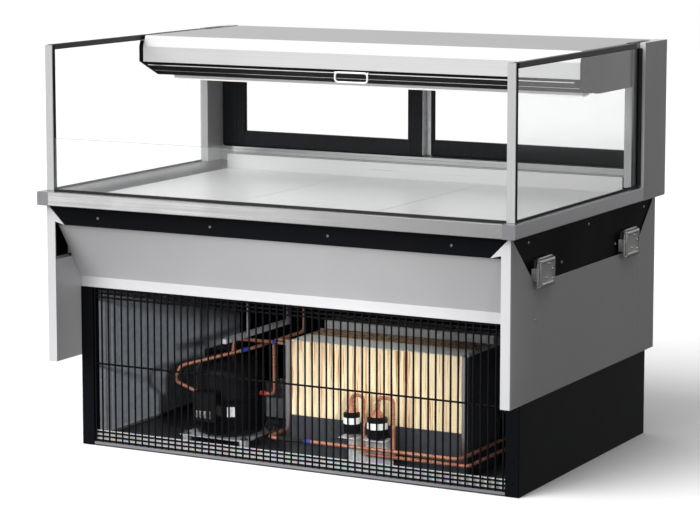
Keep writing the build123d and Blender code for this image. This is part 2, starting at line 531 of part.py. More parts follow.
# ---------------------------------------------------------------- canopy and curtain
def canopy():
    half = CANOPY_HALF
    d = CANOPY_FRONT
    top = HEIGHT - 1.0
    nose = [(d + 12, top), (d, top - 29), CHAMFER_TOP, (d + 2, CHAMFER_TOP[1]), (d + 2, top - 29.4),
            (d + 13.2, top - 2)]
    middle, end = CHANNEL_IN - 0.5, CHANNEL_DEPTH[0] - 0.5
    node("canopy_top_panel",
         along_x([(DEPTH - 4, top), *nose, (DEPTH - 4, top - 2)], (-middle, middle)),
         *[along_x([(end, top), *nose, (end, top - 2)], (s * middle, s * half)) for s in SIDES])
    under = (CHAMFER_LOW[0] + 3, CANOPY_BACK)
    node("canopy_underside", block((-CHANNEL_IN + 1, CHANNEL_IN - 1), under, (CANOPY_LOW, CANOPY_LOW + 2)),
         block((-CHANNEL_IN + 1, CHANNEL_IN - 1), (CANOPY_BACK - 2, CANOPY_BACK),
               (CANOPY_LOW + 2, top - 2.5)))
    end, rail = CHANNEL_DEPTH[0] - 1, TOP_RAIL_LOW - 1
    for sign in SIDES:
        cap = along_x([(d + 12, top), (d, top - 29), CHAMFER_TOP, CHAMFER_LOW, (end, CANOPY_LOW), (end, rail),
                       (d + 12, rail)], (sign * (half + 0.2), sign * (half + END_CAP)))
        below_rail = along_x([(d, 900), (800, 900), (800, rail), (d, rail)],
                             (sign * half, sign * (half + 20)))
        inner = along_x([(d + 2.2, CHAMFER_TOP[1] + 2), (CHAMFER_LOW[0] + 2.6, CANOPY_LOW + 2.5),
                         (end, CANOPY_LOW + 2.5), (end, top - 3), (d + 14, top - 3), (d + 2.5, top - 30)],
                        (sign * (half - 2), sign * (half + 0.2)))
        node("canopy_end_caps", cap & below_rail, inner)
    node("canopy_underside", block((-600, 600), (556, 596), (930, CANOPY_LOW), 0.8))
    node("lamp_lens", block((-596, 596), (560, 592), (926, 930), 1.0))


def curtain():
    half = CANOPY_HALF - 3
    slot = (25.0, 28.0)
    end = 100.5
    node("curtain_cassette",
         along_x([chamfer_point(3, 0), chamfer_point(slot[0], 0), chamfer_point(slot[0], -5),
                  chamfer_point(6, -5)], (-half, half)),
         along_x([chamfer_point(slot[1], 0), chamfer_point(end, 0), chamfer_point(end, -5),
                  chamfer_point(slot[1], -5)], (-half, half)))
    depth, z = ROLLER_AT
    roller = rod((-CURTAIN_HALF - 6, depth, z), (CURTAIN_HALF + 6, depth, z), ROLLER_R)
    stubs = rod((-CURTAIN_HALF - 18, depth, z), (CURTAIN_HALF + 18, depth, z), SHAFT_R)
    node("curtain_roller", roller + stubs)
    node("night_curtain", rod((-CURTAIN_HALF, depth, z), (CURTAIN_HALF, depth, z), ROLL_R)
         - rod((-CURTAIN_HALF - 1, depth, z), (CURTAIN_HALF + 1, depth, z), ROLLER_R))
    brackets = []
    for s in SIDES:
        plate = block((s * (CURTAIN_HALF + 9), s * (CURTAIN_HALF + 12)), (depth - 22, depth + 22),
                      (z - 20, HEIGHT - 3))
        brackets.append(plate - rod((s * (CURTAIN_HALF), depth, z), (s * (CURTAIN_HALF + 20), depth, z),
                                    SHAFT_R + RUNNING))
    node("curtain_cassette", *brackets)
    a, b = BAR_SPAN
    gap, trim = 0.6, 2.6
    for low, high, thick in ((a + trim, b - trim, BAR_THICK), (a, a + trim, BAR_THICK + 1),
                             (b - trim, b, BAR_THICK + 1)):
        section = [chamfer_point(low, gap), chamfer_point(high, gap), chamfer_point(high, gap + thick),
                   chamfer_point(low, gap + thick)]
        node("curtain_pull_bar", along_x(section, (-BAR_HALF, BAR_HALF)))
    handle(a, gap)


def handle(front_edge, gap):
    """White loop handle that hangs from the pull bar's front edge."""
    wide, high = HANDLE_SIZE
    depth = CANOPY_FRONT - 3.5
    centre_z = 960.0
    loop = RectangleRounded(wide - HANDLE_ROD, high - HANDLE_ROD, 9).face().outer_wire()
    plane = Plane(origin=(0, FRONT + depth, centre_z), x_dir=(1, 0, 0), z_dir=(0, -1, 0))
    path = plane * loop
    start = path @ 0
    ring = sweep(Plane(origin=start, z_dir=path % 0) * Circle(HANDLE_ROD / 2), path=path)
    reach = wide / 2 - HANDLE_ROD / 2
    low, high_end = (chamfer_point(front_edge, gap + out) for out in (BAR_THICK + 0.9, 2.6))
    side = [(depth, low[1]), low, high_end, (depth, high_end[1])]
    lugs = [along_x(side, (x - 2, x + 2)) for x in (-reach, reach)]
    node("curtain_handle", ring + lugs[0] + lugs[1])


# ---------------------------------------------------------------- sliding doors
def doors():
    z0, z1 = DOOR_Z
    grooves_front = (FRONT_TRACK + 7.5, FRONT_TRACK + 10.5)
    grooves_rear = (REAR_TRACK + 7.5, REAR_TRACK + 10.5)
    ribs = [(TRACK_DEPTH[0], grooves_front[0]), (grooves_front[1], grooves_rear[0]),
            (grooves_rear[1], TRACK_DEPTH[1])]
    wide = (-DOOR_HALF - 3, DOOR_HALF + 3)
    node("door_sill",
         block(wide, (TRACK_DEPTH[0] + 3, TRACK_DEPTH[1]), (SILL_TOP - 4, SILL_TOP)),
         *[block(wide, rib, (SILL_TOP, SILL_TOP + SILL_RIB)) for rib in ribs])
    node("door_track_upper", block(wide, TRACK_DEPTH, (1041, 1045)),
         *[block(wide, rib, (1029, 1041)) for rib in ribs])
    node("door_sill", block((-CHANNEL_IN + 0.5, CHANNEL_IN - 0.5), (836, 892), (RAIL_Z[1], SILL_TOP - 4)),
         block((-CHANNEL_IN + 1, CHANNEL_IN - 1), (892, DEPTH - RAIL_WIDTH + 20), (RAIL_Z[1], RAIL_Z[1] + 2)))
    for (name, sign), depth, tongue, stile, meeting in zip(SIDE_NAMES, (FRONT_TRACK, REAR_TRACK),
                                                           (grooves_front, grooves_rear), OUTER_STILES,
                                                           MEETING_STILES):
        outer, inner = sign * DOOR_HALF, -sign * DOOR_OVERLAP
        span = (depth, depth + DOOR_THICK)
        stiles = [grooved_stile(outer, outer - sign * stile, span),
                  grooved_stile(inner, inner + sign * meeting, span)]
        cross = (outer - sign * stile, inner + sign * meeting)
        bars = [block(cross, (depth + 1, depth + DOOR_THICK - 1), (z0, z0 + DOOR_RAIL)),
                block(cross, (depth + 1, depth + DOOR_THICK - 1), (z1 - DOOR_RAIL, z1))]
        slim = (tongue[0] + 0.6, tongue[1] - 0.6)
        tongues = [block((outer, inner), slim, (SILL_TOP + 1, z0)), block((outer, inner), slim, (z1, 1039))]
        pull_x = outer - sign * stile / 2
        pocket = block((pull_x - 9, pull_x + 9), (depth + DOOR_THICK - 8, depth + DOOR_THICK + 1), (840, 940))
        stiles[0] = stiles[0] - pocket
        node(f"rear_door_{name}_frame", *stiles, *bars, *tongues)
        pane = (z0 + DOOR_RAIL, z1 - DOOR_RAIL)
        node(f"rear_door_{name}_glass", block(cross, (depth + 6, depth + 6 + GLASS), pane))
        cup = block((pull_x - 9, pull_x + 9), (depth + DOOR_THICK - 8, depth + DOOR_THICK), (840, 940))
        dish = block((pull_x - 7, pull_x + 7), (depth + DOOR_THICK - 6.5, depth + DOOR_THICK + 1), (844, 936))
        node(f"rear_door_{name}_frame", cup - dish)


def grooved_stile(start, end, span):
    """An upright of a door frame, with shallow grooves down its front face."""
    low, high = sorted((start, end))
    count = round((high - low) / 9) - 1
    pitch = (high - low) / (count + 1)
    cuts = [block((low + pitch * (i + 1), low + pitch * (i + 1) + STILE_GROOVE),
                  (span[0] - 1, span[0] + STILE_GROOVE), (DOOR_Z[0] - 1, DOOR_Z[1] + 1))
            for i in range(count)]
    return block((low, high), span, DOOR_Z, 0.8) - Compound(children=cuts)


# ---------------------------------------------------------------- controls and fasteners
def controls():
    back = SKIN_BACK
    panel = block((360, 560), (back, back + 8), (530, 600), 1.5)
    well = block((516, 540), (back + 1, back + 9), (552, 584))
    node("control_panel", panel - well)
    pivot = (528, back + 6.0, 568)
    rocker = along_x([(back + 2.5, 554.5), (back + 2.5, 581.5), (back + 8.8, 581.5), (back + 7.2, 568),
                      (back + 8.8, 554.5)], (517, 539))
    node("power_switch", rocker - rod((510, *pivot[1:]), (545, *pivot[1:]), 1.5 + RUNNING))
    node("control_panel", rod((516, *pivot[1:]), (540, *pivot[1:]), 1.5))
    gland_depth = BASE_DEPTH[1]
    node("electrical_boxes", rod((540, gland_depth, 60), (540, gland_depth + 6, 60), 14)
         + rod((540, gland_depth + 6, 60), (540, gland_depth + 14, 60), 9))


def screws():
    heads = [screw_head((x, COLLAR_FRONT, 616), (0, -1, 0)) for x in (-495, -165, 165, 495)]
    for s in SIDES:
        out = (s, 0, 0)
        heads += [screw_head((s * COLLAR_HALF, d, 619), out) for d in (125, 490, 860)]
        heads += [screw_head((s * COLLAR_HALF, d, 546), out) for d in (323, 666)]
        heads += [screw_head((s * SKIN_HALF, d, 429), out) for d in (162, 536)]
        post = s * (BASE_HALF - POST_WIDTH / 2)
        heads += [screw_head((post, BASE_DEPTH[0], z), (0, -1, 0)) for z in (35, 90, 216, 400)]
    node("cabinet_screws", *heads)


machine_base()
tank()
evaporator()
condensing_unit()
skins()
latches()
rails()
columns()
glazing()
canopy()
curtain()
doors()
controls()
screws()

os.makedirs("parts", exist_ok=True)
for name, solids in NODES.items():
    export_step(Compound(label=name, children=solids), f"parts/{name}.step")
print(len(NODES), "nodes")
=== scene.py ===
"""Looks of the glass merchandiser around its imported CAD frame: metres, in the frame's own axes."""

import math

import bmesh
import bpy
from mathutils import Matrix, Vector


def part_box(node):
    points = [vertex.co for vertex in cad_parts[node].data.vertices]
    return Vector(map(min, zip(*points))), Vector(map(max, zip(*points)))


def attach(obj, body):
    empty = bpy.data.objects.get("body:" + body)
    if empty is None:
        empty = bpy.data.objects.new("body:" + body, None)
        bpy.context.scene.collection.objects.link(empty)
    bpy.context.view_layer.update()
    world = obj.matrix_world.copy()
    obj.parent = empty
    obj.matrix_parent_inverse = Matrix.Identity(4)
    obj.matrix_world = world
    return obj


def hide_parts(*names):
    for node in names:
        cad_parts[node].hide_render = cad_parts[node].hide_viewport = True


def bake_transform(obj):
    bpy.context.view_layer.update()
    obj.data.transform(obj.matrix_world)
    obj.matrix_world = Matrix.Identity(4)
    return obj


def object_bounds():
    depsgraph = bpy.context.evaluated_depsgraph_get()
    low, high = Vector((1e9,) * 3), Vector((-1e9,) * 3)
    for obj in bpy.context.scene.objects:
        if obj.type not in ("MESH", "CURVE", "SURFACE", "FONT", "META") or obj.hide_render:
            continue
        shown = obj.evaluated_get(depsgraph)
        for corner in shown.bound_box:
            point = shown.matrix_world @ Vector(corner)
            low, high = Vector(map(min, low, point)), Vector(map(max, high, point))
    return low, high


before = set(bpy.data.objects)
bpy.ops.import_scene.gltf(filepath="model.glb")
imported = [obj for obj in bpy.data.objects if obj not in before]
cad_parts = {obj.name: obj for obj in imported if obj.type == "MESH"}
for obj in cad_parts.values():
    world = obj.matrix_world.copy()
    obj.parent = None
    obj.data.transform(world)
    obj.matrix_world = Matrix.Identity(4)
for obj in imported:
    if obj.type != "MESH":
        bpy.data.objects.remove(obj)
CAD_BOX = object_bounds()

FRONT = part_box("rail_front")[0].y      # the front rail's face, from which depths are measured
SIDES = (-1, 1)
SIDE_NAMES = (("left", -1), ("right", 1))
CANOPY_FOLD = FRONT + 0.4665           # Y where the canopy's top folds down to its front
COIL_LOW = Vector((-0.074, FRONT + 0.255, 0.110))      # the condenser's finned block
COIL_HIGH = Vector((0.414, FRONT + 0.440, 0.303))


# ---------- materials
class Graph:
    """The nodes of a material or of the world."""

    def __init__(self, tree):
        self.nodes, self.links = tree.nodes, tree.links

    def feed(self, socket, value):
        """Links an output to an input, or sets the input to a plain value."""
        if isinstance(value, bpy.types.NodeSocket):
            self.links.new(value, socket)
        else:
            socket.default_value = value

    def make(self, kind, output, inputs=None, **settings):
        """A new node with these settings and inputs. Gives one of its outputs."""
        node = self.nodes.new("ShaderNode" + kind)
        for key, value in settings.items():
            setattr(node, key, value)
        for key, value in (inputs or {}).items():
            self.feed(node.inputs[key], value)
        return node.outputs[output]

    def span(self, value, low, high, start=0.0, end=1.0, **settings):
        """value, which runs from start to end, carried to low..high and held there."""
        inputs = {"Value": value, "From Min": start, "From Max": end, "To Min": low, "To Max": high}
        return self.make("MapRange", "Result", inputs, **settings)

    def maths(self, operation, *values):
        return self.make("Math", "Value", dict(enumerate(values)), operation=operation)


class Look(Graph):
    """A material whose colour, roughness and relief come from patterns laid through the piece."""

    def __init__(self, name, colour, metallic=0.0, roughness=0.5, **fixed):
        self.material = bpy.data.materials.new(name)
        self.material.use_nodes = True
        super().__init__(self.material.node_tree)
        self.shader = self.nodes["Principled BSDF"]
        self.base = (*colour, 1.0)
        self.set(Base_Color=self.base, Metallic=metallic, Roughness=roughness, **fixed)
        self.place = self.make("TexCoord", "Object")

    def set(self, **values):
        """Sets or links sockets of the shader, named with _ for a space."""
        for socket, value in values.items():
            self.feed(self.shader.inputs[socket.replace("_", " ")], value)

    def stretched(self, waves):
        """The piece's own coordinates, scaled to so many waves a metre: one number, or one for each axis."""
        scale = waves if isinstance(waves, tuple) else (waves, waves, waves)
        return self.make("Mapping", "Vector", {"Vector": self.place, "Scale": scale})

    def noise(self, waves, detail=3.0, distortion=0.0):
        inputs = {"Vector": self.stretched(waves), "Scale": 1.0, "Detail": detail, "Distortion": distortion}
        return self.make("TexNoise", "Fac", inputs)

    def cells(self, waves, output="Distance"):
        return self.make("TexVoronoi", output, {"Vector": self.stretched(waves), "Scale": 1.0})

    def spangle(self):
        """The grey of a zinc coat's crystals, from 0 to 1."""
        return self.make("RGBToBW", "Val", {"Color": self.cells(75, "Color")})

    def bands(self, waves, axis):
        """Sine bands across one axis."""
        return self.make("TexWave", "Fac", {"Vector": self.place, "Scale": waves}, bands_direction=axis)

    def mix(self, share, first, second):
        return self.make("Mix", 2, {0: share, 6: first, 7: second}, data_type="RGBA")

    def tone(self, share, darker, lighter):
        """The base colour, from darker to lighter times itself as share goes from 0 to 1."""
        ends = [tuple(min(1.0, c * times) for c in self.base[:3]) + (1.0,) for times in (darker, lighter)]
        return self.mix(share, *ends)

    def beyond(self, axis, distance):
        """1 where the piece reaches further than this along one axis, and 0 short of it."""
        return self.maths("GREATER_THAN", self.make("SeparateXYZ", axis, {0: self.place}), distance)

    def past(self, axis, distance):
        """1 where the piece is further than this from the middle along one axis, either way, and 0 nearer."""
        other_way = self.maths("SUBTRACT", 1.0, self.beyond(axis, -distance))
        return self.maths("ADD", self.beyond(axis, distance), other_way)

    def colour(self, value):
        self.set(Base_Color=value)

    def rough(self, value):
        self.set(Roughness=value)

    def bump(self, height, distance, strength):
        inputs = {"Strength": strength, "Distance": distance, "Height": height}
        self.set(Normal=self.make("Bump", "Normal", inputs))
        return self


def brushed(name, colour, grain, roughness=0.3, metallic=1.0):
    """Brushed sheet steel; grain is how many waves a metre the brush marks have along X, Y and Z."""
    look = Look(name, colour, metallic, roughness)
    marks = look.noise(grain, 5.0)
    cloud = look.noise(2.3, 2.0)
    smear = look.noise((9.0, 9.0, 14.0), 4.0, 0.6)
    grained = look.tone(marks, 0.88, 1.06)
    look.colour(look.mix(look.span(cloud, 0.0, 0.35), grained, look.tone(smear, 0.95, 1.03)))
    streaks = look.span(marks, roughness - 0.05, roughness + 0.07, 0.25, 0.75)
    look.rough(look.maths("ADD", streaks, look.span(smear, -0.01, 0.02, 0.35, 0.7)))
    return look.bump(marks, 0.00002, 0.6)


def canopy_steel():
    """Brushed canopy sheet, whose folded front is duller than its top."""
    look = brushed("steel_canopy", (0.74, 0.74, 0.74), (3.0, 500, 500), 0.36)
    look.set(Metallic=look.span(look.beyond("Y", CANOPY_FOLD), 0.52, 1.0))
    return look


def painted(name, colour, roughness, metallic=0.0, peel=0.00003, **fixed):
    """Sprayed or powder-coated paint with orange peel and a faint bloom of dust."""
    look = Look(name, colour, metallic, roughness, **fixed)
    cloud = look.noise(3.1, 4.0, 0.4)
    look.colour(look.tone(cloud, 0.92, 1.07))
    look.rough(look.span(cloud, roughness - 0.05, roughness + 0.08, 0.3, 0.7))
    return look.bump(look.noise(520, 2.0), peel, 0.5)


def galvanised_steel():
    look = Look("galvanised", (0.66, 0.69, 0.73), 0.45, 0.42)
    spangle = look.spangle()
    cloud = look.noise(6, 3.0, 0.8)
    look.colour(look.mix(look.span(cloud, 0.1, 0.5), look.tone(spangle, 0.72, 1.14), look.base))
    look.rough(look.span(spangle, 0.32, 0.52))
    return look.bump(look.noise(300), 0.00002, 0.4)


def part_painted(name, axis, distance, inside, outside, both_ways=True):
    """Sheet with one finish short of a line and one past it; each finish is (colour, metallic, roughness)."""
    look = Look(name, *inside, Specular_IOR_Level=0.2)
    share = (look.past if both_ways else look.beyond)(axis, distance)
    cloud = look.noise(5, 4.0, 0.6)
    worn = look.maths("MULTIPLY", look.span(look.spangle(), 0.82, 1.08), look.span(cloud, 0.85, 1.12))
    tones = [look.make("VectorMath", 0, {0: finish[0], "Scale": worn}, operation="SCALE")
             for finish in (inside, outside)]
    look.colour(look.mix(share, *tones))
    look.set(Metallic=look.span(share, inside[1], outside[1]))
    look.rough(look.maths("ADD", look.span(share, inside[2], outside[2]), look.span(cloud, -0.04, 0.06)))
    return look.bump(look.noise(420, 2.0), 0.00002, 0.4)


def floor_steel():
    """Floor pan: a floor painted near-black as painted shade, a darker grey edge under the grille, and bare
    upstands above it.
    """
    floor_top, edge_top = 0.0035, 0.0102
    # The floor's near-black base colour is painted shade; the upstands keep the bare sheet's grey.
    look = Look("floor_pan", (0.035, 0.036, 0.038), 0.2, 0.42, Specular_IOR_Level=0.3)
    cloud = look.noise(5, 4.0, 0.6)
    bare = look.mix(0.2, (0.62, 0.63, 0.66, 1), look.cells(75, "Color"))
    edge = look.mix(look.span(cloud, 0.0, 0.4), (0.17, 0.17, 0.18, 1), (0.24, 0.24, 0.25, 1))
    raised = look.mix(look.past("Z", edge_top), edge, bare)
    look.colour(look.mix(look.past("Z", floor_top), look.tone(cloud, 0.8, 1.3), raised))
    look.rough(look.span(cloud, 0.36, 0.5))
    return look.bump(look.noise(420, 2.0), 0.00002, 0.4)


def clear_glass(name, thin_axis):
    """Float glass: clear faces that mirror more at a glance, and ground edges that look green."""
    look = Look(name, (0.16, 0.20, 0.19), 0.0, 0.25)
    clear = look.make("BsdfTransparent", 0, {"Color": (0.982, 0.988, 0.985, 1)})
    gloss = look.make("BsdfGlossy", 0, {"Roughness": 0.03})
    glance = look.maths("POWER", look.make("LayerWeight", "Facing", {"Blend": 0.5}), 5.0)
    smudge = look.noise((7, 7, 11), 6.0, 1.2)
    mirror = look.maths("ADD", look.span(glance, 0.04, 1.0), look.span(smudge, 0.0, 0.012, 0.45, 0.75))
    face = look.make("MixShader", 0, {0: mirror, 1: clear, 2: gloss})
    normal = look.make("NewGeometry", "True Normal")
    across = look.maths("ABSOLUTE", look.make("SeparateXYZ", thin_axis, {0: normal}))
    edge = look.span(across, 0.85, 0.0, 0.25, 0.8)
    whole = look.make("MixShader", 0, {0: edge, 1: face, 2: look.shader.outputs[0]})
    look.feed(look.nodes["Material Output"].inputs["Surface"], whole)
    return look


def copper_tube():
    look = Look("copper", (0.80, 0.36, 0.23), 0.7, 0.26)
    stain = look.noise(60, 4.0, 1.0)
    look.colour(look.mix(look.span(stain, 0.0, 0.8, 0.5, 0.72), look.base, (0.40, 0.15, 0.09, 1)))
    look.rough(look.span(stain, 0.18, 0.5, 0.35, 0.7))
    return look.bump(look.noise(400), 0.00002, 0.4)


def gold_fins():
    """Gilt fin stock: pale fins with brown stripes that wander between them as painted shade in the gaps, and
    dark brown spots over the back of its top behind a pale strip.
    """
    look = Look("gold_fins", (1.0, 0.90, 0.68), 0.0, 0.5)
    row = look.noise((310, 3, 4), 2.0, 0.3)
    dust = look.noise((14, 14, 20), 4.0)
    # Brown stripes between the fins: painted shade in the gaps between them.
    gap_shade_stripes = look.mix(look.span(row, 0.0, 1.0, 0.36, 0.45), (0.62, 0.32, 0.10, 1), look.base)
    faded = look.mix(look.span(dust, 0.0, 0.3, 0.4, 0.8), gap_shade_stripes, (0.95, 0.86, 0.66, 1))
    on_top = look.beyond("Z", COIL_HIGH.z - 0.0012)
    at_back = look.beyond("Y", COIL_LOW.y + 0.095)
    dots = look.span(look.cells((105, 60, 60)), 0.0, 1.0, 0.25, 0.5)
    spotted = look.mix(dots, (0.10, 0.05, 0.02, 1), (0.62, 0.42, 0.24, 1))
    roof = look.mix(at_back, (0.94, 0.93, 0.88, 1), spotted)
    look.colour(look.mix(on_top, faded, roof))
    look.rough(look.span(row, 0.34, 0.52))
    return look.bump(look.bands(95.0, "Z"), 0.0002, 0.25)


def plastic(name, colour, roughness, grain=0.00004):
    look = Look(name, colour, 0.0, roughness)
    speck = look.noise(900, 2.0)
    cloud = look.noise(12, 3.0)
    look.colour(look.tone(cloud, 0.93, 1.05))
    look.rough(look.span(speck, roughness - 0.05, roughness + 0.07))
    return look.bump(speck, grain, 0.5)


def woven_curtain():
    """Aluminised woven cloth: two crossing sets of threads."""
    look = Look("curtain_cloth", (0.66, 0.67, 0.68), 0.35, 0.5, Sheen_Weight=0.3)
    warp = look.bands(260.0, "X")
    weft = look.noise((40, 900, 900), 2.0)
    weave = look.maths("MULTIPLY", warp, look.span(weft, 0.5, 1.0))
    look.colour(look.tone(weave, 0.8, 1.08))
    look.rough(look.span(weave, 0.42, 0.62))
    return look.bump(weave, 0.0002, 0.5)


def foam_core():
    look = Look("foam", (0.78, 0.70, 0.46), 0.0, 0.85)
    bubbles = look.cells(600)
    look.colour(look.tone(look.noise(15), 0.85, 1.08))
    return look.bump(bubbles, 0.0004, 0.6)


def label_paper():
    look = Look("label_paper", (0.80, 0.82, 0.82), 0.0, 0.45)
    look.colour(look.tone(look.noise(90, 4.0), 0.93, 1.03))
    return look.bump(look.noise(700), 0.00002, 0.4)


def tape(name, colour):
    look = Look(name, colour, 0.0, 0.35)
    wrinkle = look.noise((260, 260, 90), 4.0, 1.0)
    look.colour(look.tone(wrinkle, 0.75, 1.2))
    look.rough(look.span(wrinkle, 0.25, 0.5))
    return look.bump(wrinkle, 0.0003, 0.6)


def lamp_plastic():
    """Milky lamp cover, with the fine ribs that spread its light."""
    look = Look("lamp_plastic", (0.90, 0.90, 0.88), 0.0, 0.35, Emission_Strength=0.5)
    look.shader.inputs["Emission Color"].default_value = (1.0, 0.98, 0.93, 1.0)
    look.colour(look.tone(look.noise((20, 60, 20)), 0.95, 1.03))
    return look.bump(look.bands(160.0, "Y"), 0.0003, 0.4)


STEEL_X = brushed("steel_brushed_along_x", (0.68, 0.68, 0.685), (2.5, 700, 700), 0.2)
DECK = brushed("deck_steel", (0.80, 0.80, 0.80), (2.5, 500, 500), 0.32, metallic=0.3)
STEEL_Y = brushed("steel_brushed_along_y", (0.60, 0.60, 0.63), (700, 2.5, 700), 0.34)
STEEL_TOP = canopy_steel()
GREY = painted("grey_paint", (0.60, 0.60, 0.612), 0.5, 0.3, Specular_IOR_Level=0.3)
BLACK = painted("black_paint", (0.0035, 0.0038, 0.005), 0.5, Specular_IOR_Level=0.06)
BLACK_SATIN = painted("black_satin", (0.014, 0.015, 0.018), 0.5, Specular_IOR_Level=0.15)
GALVANISED_GREY = ((0.60, 0.64, 0.70), 0.3, 0.45)
DARK_PAINT = ((0.006, 0.0065, 0.008), 0.0, 0.5)
DULL_SHROUD = ((0.045, 0.048, 0.055), 0.0, 0.5)
PALE_SHROUD = ((0.55, 0.56, 0.58), 0.3, 0.4)
BASE_SIDES = part_painted("base_side_paint", "X", 0.6225, GALVANISED_GREY, DARK_PAINT)
SHROUD = part_painted("shroud_steel", "Z", 0.3035, DULL_SHROUD, PALE_SHROUD)
TRIM = brushed("bright_trim", (0.80, 0.80, 0.81), (500, 500, 4.0), 0.32, metallic=0.75)
GALVANISED = galvanised_steel()
GLASS_X = clear_glass("glass_side", "X")
GLASS_Y = clear_glass("glass_front", "Y")
RUBBER = plastic("rubber", (0.016, 0.016, 0.017), 0.7, 0.0001)
FOAM = foam_core()
COPPER = copper_tube()
FINS = gold_fins()
ALUMINIUM = brushed("bare_aluminium", (0.76, 0.77, 0.78), (5.0, 400, 400), 0.36)
BLACK_PLASTIC = plastic("black_plastic", (0.018, 0.018, 0.02), 0.42)
WHITE_PLASTIC = plastic("white_plastic", (0.84, 0.84, 0.83), 0.3)
LAMP = lamp_plastic()
CLOTH = woven_curtain()
ZINC = brushed("zinc_steel", (0.58, 0.58, 0.57), (120, 160, 90), 0.34)
BRIGHT = brushed("bright_zinc", (0.82, 0.82, 0.81), (90, 200, 60), 0.2)
ENAMEL = painted("black_enamel", (0.005, 0.005, 0.006), 0.34, 0.0, 0.00005, Specular_IOR_Level=0.25)
WIRE_COAT = painted("wire_coat", (0.004, 0.004, 0.005), 0.45, 0.0, 0.00005, Specular_IOR_Level=0.15)
LABEL = label_paper()
BLUE_TAPE = tape("blue_tape", (0.02, 0.05, 0.30))
RED_CAP = plastic("red_cap", (0.42, 0.02, 0.02), 0.35)
CHANNEL = brushed("channel_steel", (0.50, 0.50, 0.51), (500, 500, 4.0), 0.36, metallic=0.35)
PAN = floor_steel()
PALE_PROFILE = ((0.80, 0.80, 0.81), 0.1, 0.45)
DARK_PROFILE = ((0.014, 0.015, 0.018), 0.0, 0.5)
# The left door's frame is black; its face past X 0.009, the side of the meeting stile, is painted pale as
# painted light.
LEFT_DOOR_WITH_LIT_FACE = part_painted("left_door_profile", "X", 0.0090, DARK_PROFILE, PALE_PROFILE, False)
RIGHT_DOOR = part_painted("right_door_profile", "X", 0.0225, PALE_PROFILE, DARK_PROFILE, False)


# ---------- mesh helpers
def at(x, depth, z):
    """A point at an X, a depth behind the front rail's face and a height."""
    return Vector((x, FRONT + depth, z))


def piece_from(bm, name, look, crease):
    """A scene object made from a bmesh, smooth but where faces meet at more than crease degrees."""
    bmesh.ops.recalc_face_normals(bm, faces=bm.faces)
    mesh = bpy.data.meshes.new(name)
    bm.to_mesh(mesh)
    bm.free()
    mesh.polygons.foreach_set("use_smooth", [True] * len(mesh.polygons))
    mesh.set_sharp_from_angle(angle=math.radians(crease))
    mesh.materials.append(look.material)
    return placed(name, mesh)


def placed(name, data):
    """A new object in the scene."""
    made = bpy.data.objects.new(name, data)
    bpy.context.scene.collection.objects.link(made)
    return made


def finish_piece(bm, name, look, body="root", replaced=()):
    """Turns a bmesh into a piece that rides on a body and stands for CAD nodes."""
    piece = piece_from(bm, name, look, 32.0)
    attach(piece, body)
    if replaced:
        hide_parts(*replaced)


def skin(bm, loops, closed=False):
    """Faces between one loop of points and the next, with the two ends capped unless closed."""
    rows = [[bm.verts.new(p) for p in loop] for loop in loops]
    count = len(rows[0])
    pairs = list(zip(rows, rows[1:])) + ([(rows[-1], rows[0])] if closed else [])
    for a, b in pairs:
        for i in range(count):
            j = (i + 1) % count
            bm.faces.new((a[i], a[j], b[j], b[i]))
    if not closed:
        bm.faces.new(rows[0])
        bm.faces.new(rows[-1])


def circle(centre, first, second, radius, count):
    """Points of a circle in the plane of two unit vectors."""
    turns = [2 * math.pi * i / count for i in range(count)]
    return [centre + (first * math.cos(t) + second * math.sin(t)) * radius for t in turns]


def axes_about(axis):
    """Two unit vectors square to an axis and to each other."""
    axis = Vector(axis).normalized()
    first = axis.orthogonal().normalized()
    return first, axis.cross(first)


def lathe(bm, base, axis, profile, count=40):
    """A turned form: profile is (radius, height) pairs from one end to the other."""
    first, second = axes_about(axis)
    along = Vector(axis).normalized()
    skin(bm, [circle(Vector(base) + along * h, first, second, r, count) for r, h in profile])


def bar(bm, start, end, radius, count=14, edge=None):
    """A round bar with eased ends."""
    start, end = Vector(start), Vector(end)
    length = (end - start).length
    edge = radius * 0.35 if edge is None else edge
    profile = [(radius - edge, 0), (radius, edge), (radius, length - edge), (radius - edge, length)]
    lathe(bm, start, end - start, profile, count)


def bent(points, bend):
    """The line of a pipe through these points, with an arc at each corner."""
    steps = 7
    points = [Vector(p) for p in points]
    line = [points[0]]
    for before, corner, after in zip(points, points[1:], points[2:]):
        a, b = (before - corner).normalized(), (after - corner).normalized()
        half = a.angle(b) / 2
        reach = bend / math.tan(half)
        centre = corner + (a + b).normalized() * bend / math.sin(half)
        start, end = (corner + a * reach - centre).normalized(), (corner + b * reach - centre).normalized()
        line += [centre + start.slerp(end, i / steps) * bend for i in range(steps + 1)]
    return line + [points[-1]]


def pipe(bm, line, radius, count=14, closed=False):
    """A round section swept along a line of points without twisting."""
    loops, normal, last = [], None, len(line) - 1
    for i, point in enumerate(line):
        ahead = line[(i + 1) % len(line)] if closed or i < last else point
        behind = line[i - 1] if closed or i else point
        tangent = (ahead - behind).normalized()
        normal = tangent.orthogonal() if normal is None else normal - tangent * normal.dot(tangent)
        normal.normalize()
        loops.append(circle(point, normal, tangent.cross(normal), radius, count))
    skin(bm, loops, closed)


def smooth(points, steps):
    """A Catmull-Rom line through the points."""
    line = []
    ends = [points[0] * 2 - points[1]] + list(points) + [points[-1] * 2 - points[-2]]
    for a, b, c, d in zip(ends, ends[1:], ends[2:], ends[3:]):
        for i in range(steps):
            t = i / steps
            line.append(0.5 * (b * 2 + (c - a) * t + (a * 2 - b * 5 + c * 4 - d) * t * t
                               + (b * 3 - a - c * 3 + d) * t * t * t))
    return line + [points[-1]]


